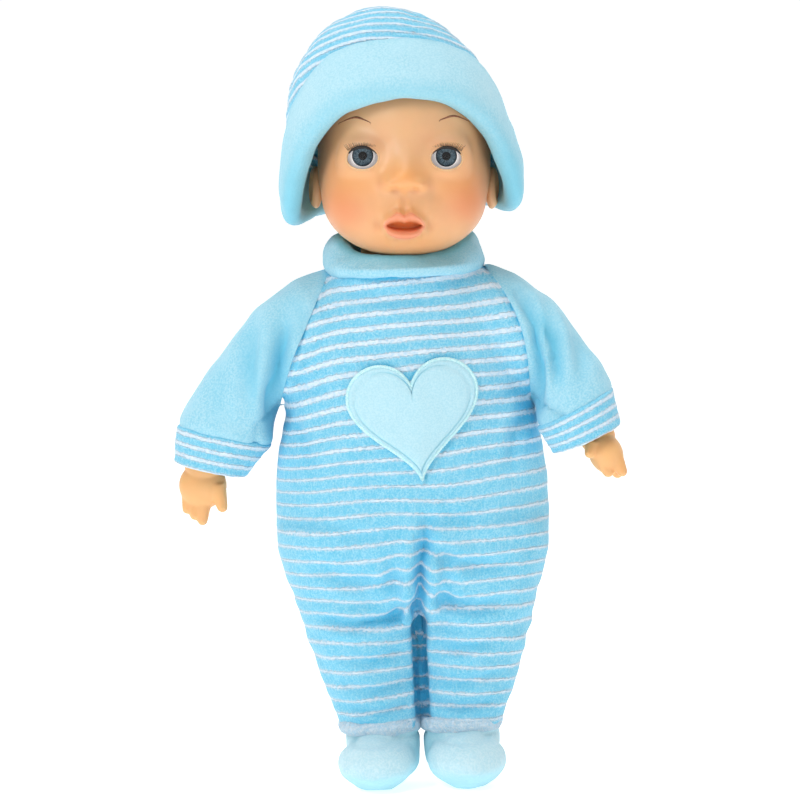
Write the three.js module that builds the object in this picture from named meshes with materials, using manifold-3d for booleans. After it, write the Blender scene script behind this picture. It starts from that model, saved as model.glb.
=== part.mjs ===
// Interactive baby doll: a stuffed cloth body in a striped romper, a vinyl head with sleep eyes and
// vinyl hands, a removable cap, and a squeeze-to-talk sound box behind the heart on the chest.
// Millimetres, +Z up. The doll faces -Y, so its own left is +X. The origin is on the floor, under
// the middle of the doll.
import * as THREE from "three";
import { mergeVertices } from "three/addons/utils/BufferGeometryUtils.js";
import Module from "manifold-3d";

const wasm = await Module();
wasm.setup();

// ---- driving dimensions ----
const GAP = 0.3; // between pieces that touch
const CLOTH = 1.2; // thickness of the sewn fabric
const SIDES = { left: 1, right: -1 };

const HEAD = {
  crown: { at: [0, 1, 257], radii: [35, 37.5, 36] },
  face: { at: [0, -3, 240], radii: [34, 38, 31], flatness: 0.8 },
  jaw: { at: [0, -18, 221], radii: [23, 22, 12.5] },
  wall: 2.5,
  neck: { radius: 16.5, flange: 20, bottom: 188, grooveFrom: 192, top: 222, bore: 13 },
};
const EAR = { x: 33.8, y: 3, z: 234, radii: [3.4, 5.5, 8.4] };
const EYE = { x: 16.1, y: -27.4, z: 248, ball: 7.6, pocket: 8, halfWidth: 6.6, halfHeight: 5.6 };
const LASH = { angle: 28, halfWidth: 3.4, reach: 8.9 };
const HAT = { centre: [0, 0, 247], tilt: 30, inside: [40.4, 43.4], outside: [47.7, 50.5], wall: 2.5 };
const BRIM = { bottom: 2, top: 26, droop: 21 };
const COLLAR = { inner: 24, outer: 28.6, bottom: 201.6, top: 213 };
const HIP = { z: 92, radius: 17.5, clearance: 0.8 };
const SHOULDER = { x: 46, z: 176, ball: 15, clearance: 0.6 };
const ARM = { left: { spread: 28, forward: 25 }, right: { spread: 34, forward: 0 } };
const ARM_END = -43; // along the arm, below the shoulder's centre
const CUFF_END = -54;
const HAND_TURN = { left: 150, right: 0 };
const FOOT = { x: 16.6, y: -8, halfWidth: 14.8, halfLength: 22 };
const FOOT_TURN = { left: 14, right: 4 };
const BOX = { z: 141, halfWidth: 25, halfHeight: 20, front: 2, split: 11, rear: 20.5, wall: 1.6 };
const BUTTON = { x: 11.5, z: 147, cap: 6.5, stem: 2.5 };
const PAD_RADIUS = 8;
const HEART = { x: 1, z: 146, width: 51, height: 48, turn: 5, lift: 1.9, thickness: 1.6 };
const FLAP = { halfWidth: 26, top: 165, bottom: 117, lift: 2.4 };

// Height, half width and half depth of the torso, from the hips to the neck.
const TORSO = [
  [90, 51.5, 30],
  [106, 53, 31.5],
  [122, 52, 32],
  [138, 48.5, 31.5],
  [153, 45, 30],
  [168, 40.5, 28],
  [183, 35.5, 26.5],
  [194, 31.5, 25.8],
  [201, 29, 25.5],
];
// Height, half width, half depth and middle of a leg, from the ankle to over the hip.
const LEG = [
  [24, 14.6, 14, 15.6],
  [34, 16.8, 15, 17.8],
  [53, 19.8, 16.2, 20.9],
  [72, 22.9, 17.2, 24.1],
  [92, 25, 17.5, 26.2],
  [112, 25, 17.5, 26.2],
];
// Distance along the arm from the shoulder's centre, half width and half depth.
const SLEEVE = [
  [ARM_END, 14.9, 13],
  [-32, 16.2, 14],
  [-16, 15.9, 14.4],
  [0, 14.9, 14.5],
];

// ---- materials ----
const paint = (color, roughness, metalness = 0) =>
  new THREE.MeshStandardMaterial({ color, roughness, metalness });
const MATERIAL = {
  vinyl: paint(0xe8b088, 0.45),
  stripe: paint(0x7fd0ee, 0.95),
  velour: paint(0x9fdcf0, 0.95),
  terry: paint(0xb4e8f4, 0.95),
  heart: paint(0xb5e6ef, 0.95),
  fibre: paint(0xf4f4f2, 1),
  foam: paint(0xd8dadd, 1),
  tie: paint(0xf0efe8, 0.5),
  sclera: paint(0xf5f5f3, 0.2),
  iris: paint(0x54768c, 0.25),
  lash: paint(0x1d1713, 0.7),
  casing: paint(0xf2f2ee, 0.5),
  button: paint(0xd9534f, 0.5),
  board: paint(0x2f7d4f, 0.6),
  resin: paint(0x15171a, 0.4),
  steel: paint(0xb9bcc0, 0.35, 1),
  paper: paint(0x2a2a2c, 0.9),
  hook: paint(0xdfe9ee, 0.9),
  copperRed: paint(0xb8322a, 0.5),
  copperBlack: paint(0x202224, 0.5),
};

// ---- solids ----
const radians = THREE.MathUtils.degToRad;

function solidOf(geometry) {
  const bare = geometry.clone();
  bare.deleteAttribute("normal");
  bare.deleteAttribute("uv");
  const merged = mergeVertices(bare, 1e-4);
  return new wasm.Manifold(
    new wasm.Mesh({
      numProp: 3,
      vertProperties: new Float32Array(merged.attributes.position.array),
      triVerts: new Uint32Array(merged.index.array),
    }),
  );
}

function geometryOf(solid) {
  const mesh = solid.getMesh();
  const geometry = new THREE.BufferGeometry();
  geometry.setAttribute("position", new THREE.BufferAttribute(mesh.vertProperties, 3));
  geometry.setIndex(new THREE.BufferAttribute(mesh.triVerts, 1));
  geometry.computeVertexNormals();
  return geometry;
}

const join = (...solids) => solids.reduce((all, next) => all.add(next));

function box(x0, x1, y0, y1, z0, z1) {
  const geometry = new THREE.BoxGeometry(x1 - x0, y1 - y0, z1 - z0);
  return solidOf(geometry.translate((x0 + x1) / 2, (y0 + y1) / 2, (z0 + z1) / 2));
}

function ellipsoid([x, y, z], [a, b, c], around = 14, along = 9, flatness = 1) {
  const geometry = new THREE.SphereGeometry(1, around, along).rotateX(Math.PI / 2);
  const p = geometry.attributes.position;
  for (let i = 0; i < p.count; i++) {
    const depth = Math.sign(p.getY(i)) * Math.abs(p.getY(i)) ** flatness;
    p.setXYZ(i, x + a * p.getX(i), y + b * depth, z + c * p.getZ(i));
  }
  return solidOf(geometry);
}

// A round bar between two heights, turned so that it lies along the given axis through the point.
function bar(axis, [x, y, z], radius, from, to, sides = 16) {
  const geometry = new THREE.CylinderGeometry(radius, radius, to - from, sides);
  geometry.translate(0, (from + to) / 2, 0);
  if (axis === "x") geometry.rotateZ(-Math.PI / 2);
  if (axis === "z") geometry.rotateX(Math.PI / 2);
  return solidOf(geometry.translate(x, y, z));
}

const ring = (axis, at, inner, outer, from, to, sides = 20) =>
  bar(axis, at, outer, from, to, sides).subtract(bar(axis, at, inner, from - 1, to + 1, sides));

// A closed tube through oval sections [height, half width, half depth, middle x], grown by some mm.
function loft(sections, grow = 0, around = 20, steps = 7) {
  const oval = new THREE.CatmullRomCurve3(
    sections.map(([z, a, b]) => new THREE.Vector3(z, a + grow, b + grow)),
  );
  const middle = new THREE.CatmullRomCurve3(
    sections.map(([z, , , x = 0]) => new THREE.Vector3(x, 0, z)),
  );
  const geometry = new THREE.CylinderGeometry(1, 1, 1, around, steps).rotateX(Math.PI / 2);
  const p = geometry.attributes.position;
  for (let i = 0; i < p.count; i++) {
    const t = Math.min(1, Math.max(0, p.getZ(i) + 0.5));
    const size = oval.getPoint(t);
    const x = middle.getPoint(t).x + size.y * p.getX(i);
    p.setXYZ(i, x, size.z * p.getY(i), size.x);
  }
  return solidOf(geometry);
}

// The same sections with both ends drawn out, to cut right through a shell's open ends.
function drawnOut(sections, by) {
  const [first, last] = [sections[0], sections[sections.length - 1]];
  return [[first[0] - by, ...first.slice(1)], ...sections, [last[0] + by, ...last.slice(1)]];
}

function roundedSlab(halfWidth, halfHeight, corner, y0, y1, x = 0, z = 0) {
  const [w, h, r] = [halfWidth, halfHeight, corner];
  const outline = new THREE.Shape()
    .moveTo(-w + r, -h)
    .lineTo(w - r, -h)
    .absarc(w - r, -h + r, r, -Math.PI / 2, 0)
    .lineTo(w, h - r)
    .absarc(w - r, h - r, r, 0, Math.PI / 2)
    .lineTo(-w + r, h)
    .absarc(-w + r, h - r, r, Math.PI / 2, Math.PI)
    .lineTo(-w, -h + r)
    .absarc(-w + r, -h + r, r, Math.PI, Math.PI * 1.5);
  return extrudeBack(outline, y0, y1, x, z);
}

// An outline drawn as seen from the front, made solid from depth y0 to y1.
function extrudeBack(outline, y0, y1, x = 0, z = 0, curveSegments = 3) {
  const options = { depth: y1 - y0, bevelEnabled: false, curveSegments };
  const geometry = new THREE.ExtrudeGeometry(outline, options).rotateX(Math.PI / 2);
  return solidOf(geometry.translate(x, y1, z));
}

function piece(parent, name, solid, material) {
  const mesh = new THREE.Mesh(geometryOf(solid), MATERIAL[material]);
  mesh.name = name;
  parent.add(mesh);
  return mesh;
}

// ---- head ----
function headForm(grow) {
  const lobes = [
    [HEAD.crown, 16, 9],
    [HEAD.face, 18, 10],
    [HEAD.jaw, 14, 8],
  ].map(([{ at, radii, flatness = 1 }, around, along]) =>
    ellipsoid(at, radii.map((r) => r + grow), around, along, flatness),
  );
  return join(...lobes);
}

function headShell() {
  const { neck, wall } = HEAD;
  let outer = headForm(0);
  for (const side of Object.values(SIDES)) {
    outer = outer.add(ellipsoid([side * EAR.x, EAR.y, EAR.z], EAR.radii, 10, 6));
    outer = outer.add(ellipsoid([side * 4.2, -41, 236], [3.2, 3.4, 2.6], 8, 5)); // side of the nose
    outer = outer.add(ellipsoid([side * 4, -38.5, 226], [6, 4, 2.2], 8, 5)); // upper lip
  }
  outer = outer.add(ellipsoid([0, -42.5, 238.5], [3.8, 4.4, 3.6], 10, 6)); // tip of the nose
  outer = outer.add(ellipsoid([0, -38, 219.5], [7, 4.4, 2.6], 10, 5)); // lower lip
  // Under the jaw a round recess leaves room for the collar, so that the head can turn.
  outer = outer.subtract(bar("z", [0, 0, 0], COLLAR.outer + 1.2, 190, COLLAR.top + 1.2, 24));
  outer = join(
    outer,
    bar("z", [0, 0, 0], neck.radius, neck.bottom + 2, neck.top, 20),
    bar("z", [0, 0, 0], neck.flange, neck.bottom, neck.grooveFrom, 20),
  );
  const inside = headForm(-wall).subtract(box(-60, 60, -60, 60, 180, COLLAR.top + 1.2 + wall));
  let shell = outer.subtract(inside);
  shell = shell.subtract(bar("z", [0, 0, 0], neck.bore, neck.bottom - 1, neck.top + 12, 16));
  shell = shell.subtract(ellipsoid([0, -41.5, 222.6], [7.4, 3.4, 1.6], 10, 5)); // open mouth
  for (const side of Object.values(SIDES)) {
    const at = [side * EYE.x, EYE.y, EYE.z];
    const opening = bar("y", [0, 0, 0], 1, -20, 0, 16)
      .scale([EYE.halfWidth, 1, EYE.halfHeight])
      .translate(at);
    const pinRoom = bar("x", at, 1.2, -8.7, 8.7, 8);
    shell = shell.subtract(opening).subtract(pinRoom);
    shell = shell.subtract(ellipsoid(at, Array(3).fill(EYE.pocket), 14, 10));
  }
  return shell;
}

// One sleep eye: a weighted ball on two pins, hung in a frame behind the opening in the face.
function addEye(parent, name, side) {
  const at = [side * EYE.x, EYE.y, EYE.z];
  const eye = new THREE.Group();
  eye.position.set(...at);
  parent.add(eye);
  const ball = ellipsoid([0, 0, 0], Array(3).fill(EYE.ball), 14, 10)
    .subtract(box(-9, 9, -9, -5.6, -9, 9))
    .add(bar("x", [0, 0, 0], 0.8, -8.3, 8.3, 8))
    .add(box(-1, 1, 3, 8.5, -8.5, -3));
  piece(eye, name + "_eyeball", ball, "sclera");
  piece(eye, name + "_iris", bar("y", [0, 0, 0], 4.3, -6.2, -5.9, 14), "iris");
  piece(eye, name + "_eye_weight", box(-3, 3, 8.8, 12.5, -12.5, -8.8), "steel");
  // The lashes stand out from the lid in a thin fan, just over the coloured part.
  const fan = ring("z", [0, 0, 0], EYE.ball + 0.3, LASH.reach, -0.15, 0.15, 24)
    .intersect(box(-LASH.halfWidth, LASH.halfWidth, -12, -4, -1, 1))
    .rotate([-LASH.angle, 0, 0]);
  piece(eye, name + "_eyelashes", fan, "lash");
  const frame = ring("y", at, EYE.pocket + 0.2, 10.2, -3.5, 3, 16)
    .subtract(bar("x", at, 1.2, -12, 12, 8))
    .intersect(headForm(-HEAD.wall - GAP));
  piece(parent, name + "_eye_frame", frame, "casing");
}

// ---- cap ----
const DOME = [HAT.inside[0] + 2.5, HAT.inside[1] + 2.5, 62];

// The rim hangs lower over the ears than over the forehead and the nape.
function droopedBand(sections, around) {
  const [low, high] = [sections[0][0], sections[sections.length - 1][0]];
  return loft(sections, 0, around, 5).warp((p) => {
    const across = p[0] / Math.hypot(p[0], p[1], 1e-6);
    p[2] -= (BRIM.droop * across * across * (high - p[2])) / (high - low);
  });
}

const above = (height) => box(-70, 70, -70, 70, height, 90);

function addHat(parent) {
  const hat = new THREE.Group();
  hat.position.set(...HAT.centre);
  hat.rotation.x = -radians(HAT.tilt);
  parent.add(hat);
  const [a, b] = HAT.inside;
  const [oa, ob] = HAT.outside;
  const { bottom, top } = BRIM;
  const roll = droopedBand(
    [
      [bottom, oa - 2.4, ob - 2.4],
      [bottom + 5, oa, ob],
      [bottom + 14, oa - 1.4, ob - 1.4],
      [top, a + 1.4, b + 1.4],
    ],
    28,
  );
  const dome = (grow) => ellipsoid([0, 0, 0], DOME.map((r) => r + grow), 20, 12);
  const inside = bar("z", [0, 0, 0], 1, -60, bottom + 8, 24).scale([a, b, 1]);
  const upper = dome(-HAT.wall).intersect(above(bottom + 7)).intersect(inside.scale([1, 1, 20]));
  piece(hat, "hat_brim", roll.subtract(inside).subtract(upper), "velour");
  const crown = dome(0).intersect(above(top + GAP)).subtract(dome(-HAT.wall));
  piece(hat, "hat_crown", crown, "stripe");
}

// ---- torso ----
const torsoForm = (grow) => loft(TORSO, grow, 20, 7);

// The room that the thighs sweep through, from hanging down to lifted in front.
function hipRoom(extra = 0) {
  const radius = HIP.radius + HIP.clearance + extra;
  return join(
    bar("x", [0, 0, HIP.z], radius, -70, 70, 24),
    box(-70, 70, -70, 0, 60, HIP.z + radius),
    box(-70, 70, -1, 70, 60, HIP.z),
  );
}

// The room that a sleeve sweeps through as it turns about the shoulder: a ball and a cone.
function shoulderRoom(side, extra = 0) {
  const radius = SHOULDER.ball + SHOULDER.clearance + extra;
  const cone = new THREE.CylinderGeometry(13, 45, 16, 24).rotateZ(Math.PI / 2);
  cone.translate(SHOULDER.x - 4 - extra, 0, 0);
  const room = ellipsoid([SHOULDER.x, 0, 0], Array(3).fill(radius), 18, 12).add(solidOf(cone));
  const outward = side > 0 ? room : room.mirror([1, 0, 0]);
  return outward.translate([0, 0, SHOULDER.z]);
}

function trimmed(solid, extra = 0) {
  return solid
    .subtract(hipRoom(extra))
    .subtract(shoulderRoom(1, extra))
    .subtract(shoulderRoom(-1, extra));
}

function heartOutline() {
  const [w, h] = [HEART.width / 2, HEART.height / 2];
  return new THREE.Shape()
    .moveTo(0, -h)
    .bezierCurveTo(-w * 0.35, -h * 0.55, -w, -h * 0.15, -w, h * 0.38)
    .bezierCurveTo(-w, h * 0.8, -w * 0.72, h, -w * 0.48, h)
    .bezierCurveTo(-w * 0.22, h, -w * 0.06, h * 0.82, 0, h * 0.58)
    .bezierCurveTo(w * 0.06, h * 0.82, w * 0.22, h, w * 0.48, h)
    .bezierCurveTo(w * 0.72, h, w, h * 0.8, w, h * 0.38)
    .bezierCurveTo(w, -h * 0.15, w * 0.35, -h * 0.55, 0, -h);
}

function addTorso(parent) {
  const { neck } = HEAD;
  const padRoom = bar("y", [BUTTON.x, 0, BUTTON.z], PAD_RADIUS + 0.6, -60, 2, 20);
  const boxRoom = box(-BOX.halfWidth - 1, BOX.halfWidth + 1, BOX.front - 1, 60,
    BOX.z - BOX.halfHeight - 1, BOX.z + BOX.halfHeight + 1);
  const neckRoom = bar("z", [0, 0, 0], neck.flange + 0.8, neck.bottom - 1.5, 230, 24);
  const core = trimmed(torsoForm(-CLOTH - GAP), 1)
    .subtract(padRoom)
    .subtract(boxRoom)
    .subtract(neckRoom);
  piece(parent, "torso_stuffing", core, "fibre");

  const skin = trimmed(torsoForm(0).subtract(torsoForm(-CLOTH))).intersect(box(-70, 70, -70, 70, 91, 200.6));
  const front = skin.intersect(box(-70, 70, -70, -GAP / 2, 60, 230)).subtract(padRoom);
  piece(parent, "front_panel", front, "stripe");
  const backOpening = box(-22, 22, 0, 60, BOX.z - 18, BOX.z + 18);
  const back = skin.intersect(box(-70, 70, GAP / 2, 70, 60, 230)).subtract(backOpening);
  piece(parent, "back_panel", back, "stripe");

  const collar = join(
    ring("z", [0, 0, 0], COLLAR.inner, COLLAR.outer, COLLAR.bottom, COLLAR.top, 24),
    ring("z", [0, 0, 0], neck.radius + 0.6, COLLAR.inner + 1, COLLAR.bottom, COLLAR.bottom + 1.2, 24),
  );
  piece(parent, "collar", collar, "velour");
  const tie = join(
    ring("z", [0, 0, 0], neck.radius + 0.6, neck.radius + 2.2, 204.5, 208.5, 20),
    box(-2.5, 2.5, neck.radius + 1.2, neck.radius + 5, 203.8, 209.2),
  );
  piece(parent, "neck_cable_tie", tie, "tie");
}

// A patch that follows the torso's surface between two offsets, seen through an outline.
function patch(lift, thickness, window) {
  return torsoForm(lift + thickness).subtract(torsoForm(lift)).intersect(window);
}

function addBackFlap(parent) {
  const { halfWidth: w, top, bottom, lift } = FLAP;
  piece(parent, "back_flap", patch(lift, CLOTH, box(-w, w, 5, 60, bottom, top)), "stripe");
  const strip = box(-w + 4, w - 4, 5, 60, bottom + 1, bottom + 7);
  piece(parent, "flap_hook_strip", patch(lift - 1.1, 0.8, strip), "hook");
  piece(parent, "flap_loop_strip", patch(GAP, 0.7, strip), "hook");
}

// ---- heart button and sound box ----
function addHeart(parent) {
  const outline = extrudeBack(heartOutline(), -60, -10, 0, 0, 5)
    .rotate([0, -HEART.turn, 0])
    .translate([HEART.x, 0, HEART.z]);
  piece(parent, "heart_patch", patch(HEART.lift, HEART.thickness, outline), "heart");
  // A foam pad carries the squeeze from the heart to the button.
  const inFront = torsoForm(HEART.lift - GAP).intersect(box(-40, 40, -60, -2.2, 100, 180));
  const pad = bar("y", [BUTTON.x, 0, BUTTON.z], PAD_RADIUS, -60, -2.2, 18).intersect(inFront);
  piece(parent, "pressure_pad", pad, "foam");
  const at = [BUTTON.x, 0, BUTTON.z];
  const button = join(
    bar("y", at, BUTTON.cap, -1.8, 4, 18),
    bar("y", at, BUTTON.cap + 1.2, 3.9, 4.9, 18),
    bar("y", at, BUTTON.stem, 4.8, 5.5, 12),
  );
  piece(parent, "sound_button", button, "button");
}

function screw(parent, name, x, z, headFrom, length) {
  const solid = bar("y", [x, 0, z], 1.9, headFrom, headFrom + 1.2, 12)
    .add(bar("y", [x, 0, z], 0.9, headFrom - length, headFrom + 0.5, 8))
    .subtract(box(x - 1.3, x + 1.3, headFrom + 0.7, headFrom + 2, z - 0.25, z + 0.25))
    .subtract(box(x - 0.25, x + 0.25, headFrom + 0.7, headFrom + 2, z - 1.3, z + 1.3));
  piece(parent, name, solid, "steel");
}

const SPEAKER = { x: -11, radius: 11.5 };
const CELL_X = [-13, 0, 13];
const CELL = { radius: 5.8, z: BOX.z + 4, front: 12.5, rear: 17.9 };
const SWITCH = { x: 0, z: BOX.z - 12.5, travel: 4 };
const CASE_SCREW_X = [-20, 20];

function addSoundBox(parent) {
  const { z, halfWidth: w, halfHeight: h, front, split, rear, wall } = BOX;
  const inside = (y0, y1) => roundedSlab(w - wall, h - wall, 3, y0, y1, 0, z);
  let frontCase = roundedSlab(w, h, 4, front, split - GAP / 2, 0, z)
    .subtract(inside(front + wall, split + 1))
    .subtract(bar("y", [BUTTON.x, 0, BUTTON.z], BUTTON.cap + 0.5, 0, 8, 18));
  for (let hole = 0; hole < 6; hole++) {
    const angle = (hole * Math.PI) / 3;
    const at = [SPEAKER.x + 6 * Math.cos(angle), 0, z + 6 * Math.sin(angle)];
    frontCase = frontCase.subtract(bar("y", at, 1.2, 0, 8, 6));
  }
  piece(parent, "sound_case_front", frontCase, "casing");

  const doorRoom = box(-21.3, 21.3, rear - wall - 0.3, rear + 1, z - 4.3, z + 12.3);
  const slot = box(-4.5, 4.5, rear - 3, rear + 1, SWITCH.z - 1.6, SWITCH.z + 1.6);
  let rearCase = roundedSlab(w, h, 4, split + GAP / 2, rear, 0, z)
    .subtract(inside(split - 1, rear - wall))
    .subtract(doorRoom)
    .subtract(slot);
  for (const x of CASE_SCREW_X)
    rearCase = rearCase
      .add(bar("y", [x, 0, z - 16.5], 2.6, split + GAP / 2, rear - 1, 12))
      .subtract(bar("y", [x, 0, z - 16.5], 2.2, rear - 1.6, rear + 1, 12))
      .subtract(bar("y", [x, 0, z - 16.5], 1.2, split - 2, rear + 1, 8));
  piece(parent, "sound_case_rear", rearCase, "casing");
  for (const [i, x] of CASE_SCREW_X.entries())
    screw(parent, "case_screw_" + (i + 1), x, z - 16.5, rear - 1.3, 7);

  const door = box(-21, 21, rear - wall, rear - 0.1, z - 4, z + 12).subtract(
    bar("y", [0, 0, z + 11], 1.2, rear - 4, rear + 1, 8),
  );
  piece(parent, "battery_door", door, "casing");
  screw(parent, "battery_door_screw", 0, z + 11, rear + 0.2, 2.4);

  for (const [i, x] of CELL_X.entries()) {
    const cell = bar("y", [x, 0, CELL.z], CELL.radius, CELL.front, CELL.rear, 16);
    piece(parent, "button_cell_" + (i + 1), cell.add(
      bar("y", [x, 0, CELL.z], 4, CELL.front - 0.4, CELL.front + 1, 12)), "steel");
  }
  const strips = join(
    box(-17, 17, CELL.rear + GAP, CELL.rear + 0.7, CELL.z - 3, CELL.z + 3),
    box(-17, -15, CELL.front - 1.5, CELL.rear + 0.7, CELL.z + 6.2, CELL.z + 7),
    box(-17, -15, CELL.rear + GAP, CELL.rear + 0.7, CELL.z + 2, CELL.z + 7),
  );
  piece(parent, "battery_contact_strip", strips, "steel");

  const board = box(2.5, 22.8, 9, 10.2, z - 17, z + 17);
  piece(parent, "circuit_board", board, "board");
  piece(parent, "button_dome", bar("y", [BUTTON.x, 0, BUTTON.z], 4.4, 7.3, 8.7, 12), "paper");
  piece(parent, "sound_chip", ellipsoid([BUTTON.x, 8.7, z - 12], [4.5, 1.4, 3.6], 10, 6)
    .intersect(box(0, 30, 0, 8.7, z - 20, z)), "resin");

  const speakerAt = [SPEAKER.x, 0, z];
  const basket = bar("y", speakerAt, SPEAKER.radius, 3.9, 7.2, 20)
    .subtract(bar("y", speakerAt, SPEAKER.radius - 1.4, 3, 6.2, 20))
    .add(bar("y", speakerAt, 6.5, 7, 9, 16));
  piece(parent, "speaker_frame", basket, "steel");
  const cone = bar("y", speakerAt, SPEAKER.radius - 1.8, 4.3, 4.9, 20)
    .add(bar("y", speakerAt, 4, 4.6, 5.9, 12));
  piece(parent, "speaker_cone", cone, "paper");

  const wires = [["red", 2.4, "copperRed"], ["black", -2.4, "copperBlack"]];
  for (const [colour, dz, material] of wires) {
    const route = new THREE.CatmullRomCurve3([
      new THREE.Vector3(-7, 8, z + dz - 10),
      new THREE.Vector3(-5, 8.2, z + dz - 11),
      new THREE.Vector3(-2, 8.6, z + dz - 11),
      new THREE.Vector3(1.6, 9.6, z + dz - 10),
    ]);
    const section = new THREE.Shape().absarc(0, 0, 0.5, 0, 2 * Math.PI);
    const options = { steps: 8, extrudePath: route, curveSegments: 3 };
    piece(parent, "speaker_wire_" + colour, solidOf(new THREE.ExtrudeGeometry(section, options)), material);
  }
}

function addPowerSwitch(parent) {
  const { x, z } = SWITCH;
  const rear = BOX.rear;
  const knob = box(x - 4, x + 1, rear - 3.5, rear - 1.9, z - 2.4, z + 2.4)
    .add(box(x - 3.5, x + 0.5, rear - 2, rear + 0.6, z - 1.2, z + 1.2));
  piece(parent, "power_switch_knob", knob, "resin");
}

// ---- arms ----
function addArm(parent, name, side) {
  const arm = new THREE.Group();
  const { spread, forward } = ARM[name];
  arm.position.set(side * SHOULDER.x, 0, SHOULDER.z);
  arm.rotation.set(-radians(forward), -side * radians(spread), 0, "XYZ");
  parent.add(arm);
  const form = (grow, from) =>
    ellipsoid([0, 0, 0], Array(3).fill(SHOULDER.ball + grow), 14, 8).add(
      loft([[from, ...SLEEVE[0].slice(1)], ...SLEEVE.slice(1)], grow, 14, 3),
    );
  const sleeve = form(0, ARM_END).subtract(form(-CLOTH, ARM_END - 5));
  piece(arm, name + "_sleeve", sleeve, "velour");
  piece(arm, name + "_arm_stuffing", form(-CLOTH - GAP, ARM_END + 0.5), "fibre");
  const cuffSections = (grow) => [
    [CUFF_END, 15.2 + grow, 13.6 + grow],
    [ARM_END - GAP, 15 + grow, 13.2 + grow],
  ];
  const cuff = loft(cuffSections(0), 0, 14, 1).subtract(
    loft(drawnOut(cuffSections(-1.8), 3), 0, 14, 3),
  );
  piece(arm, name + "_cuff", cuff, "stripe");
  const tie = ring("z", [0, 0, 0], 6.9, 8.4, -50, -47.5, 16).add(
    box(-1.6, 1.6, 7.6, 10.6, -50.4, -47.1),
  );
  piece(arm, name + "_wrist_tie", tie, "tie");
  const hand = new THREE.Group();
  hand.rotation.z = radians(HAND_TURN[name]);
  arm.add(hand);
  piece(hand, name + "_hand", handForm(side), "vinyl");
}

function capsule(from, to, radius) {
  const [a, b] = [new THREE.Vector3(...from), new THREE.Vector3(...to)];
  const geometry = new THREE.CapsuleGeometry(radius, a.distanceTo(b), 2, 6);
  const turn = new THREE.Quaternion().setFromUnitVectors(
    new THREE.Vector3(0, 1, 0),
    b.clone().sub(a).normalize(),
  );
  geometry.applyQuaternion(turn);
  const middle = a.add(b).multiplyScalar(0.5);
  return solidOf(geometry.translate(middle.x, middle.y, middle.z));
}

// A small mitten-like hand: the thumb is on the side towards the body.
function handForm(side) {
  const inward = -side;
  let hand = join(
    bar("z", [0, 0, 0], 9, -46.6, -44.6, 12),
    bar("z", [0, 0, 0], 6.3, -56, -45, 12),
    ellipsoid([-inward * 1.2, 0, -60], [7.6, 5, 8], 10, 7),
    capsule([inward * 4.2, -1.2, -60], [inward * 6.6, -1.6, -69], 2.3),
  );
  const fingerX = [-6, -2.9, 0.2];
  const fingerEnd = [-68.5, -72, -71.5];
  for (const [i, x] of fingerX.entries())
    hand = hand.add(capsule([inward * x, 0, -62], [inward * x, -0.6, fingerEnd[i]], 2.1));
  return hand;
}

// ---- legs ----
function legForm(grow, from = LEG[0][0]) {
  const sections = [[from, ...LEG[0].slice(1)], ...LEG.slice(1)];
  const tube = loft(sections, grow, 18, 5);
  const rounded = bar("x", [0, 0, HIP.z], HIP.radius + grow, -5, 60, 20);
  return tube.intersect(join(rounded, box(-5, 60, -30, 30, from - 1, HIP.z)));
}

function addLeg(parent, name, side) {
  const leg = new THREE.Group();
  leg.scale.x = side;
  parent.add(leg);
  const cover = legForm(0).subtract(legForm(-CLOTH, LEG[0][0] - 5));
  piece(leg, name + "_leg_cover", cover, "stripe");
  piece(leg, name + "_leg_stuffing", legForm(-CLOTH - GAP, LEG[0][0] + 0.6), "fibre");
  const [, a, b, x] = LEG[0];
  const band = loft([[19.6, a + 0.3, b + 0.3, x], [LEG[0][0] - GAP, a + 0.3, b + 0.3, x]], 0, 20, 1);
  piece(leg, name + "_ankle_band", band, "terry");
  const foot = new THREE.Group();
  foot.position.set(FOOT.x, 0, 0);
  foot.rotation.z = radians(FOOT_TURN[name]);
  leg.add(foot);
  const { halfWidth, halfLength, y } = FOOT;
  const sock = ellipsoid([0, y, 8], [halfWidth, halfLength, 14.5], 16, 10)
    .add(loft([[4, halfWidth - 1.5, 13], [19.3, 13.4, 13]], 0, 16, 1))
    .intersect(box(-40, 40, -60, 60, 0, 19.3));
  piece(foot, name + "_foot", sock, "terry");
}

// ---- the doll ----
const doll = new THREE.Group();
const head = new THREE.Group();
doll.add(head);
piece(head, "head_shell", headShell(), "vinyl");
addHat(head);
addTorso(doll);
addBackFlap(doll);
addHeart(doll);
addSoundBox(doll);
addPowerSwitch(doll);
for (const [name, side] of Object.entries(SIDES)) {
  addEye(head, name, side);
  addArm(doll, name, side);
  addLeg(doll, name, side);
}

// The origin is on the floor, under the middle of the doll's box.
const bounds = new THREE.Box3().setFromObject(doll, true);
const middle = bounds.getCenter(new THREE.Vector3());
doll.position.set(-middle.x, -middle.y, -bounds.min.z);

export default doll;
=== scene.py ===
import random
from math import atan2, cos, degrees, hypot, pi, radians, sin

import bmesh
import bpy
import numpy as np
from mathutils import Matrix, Vector, noise
from mathutils.bvhtree import BVHTree


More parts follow.
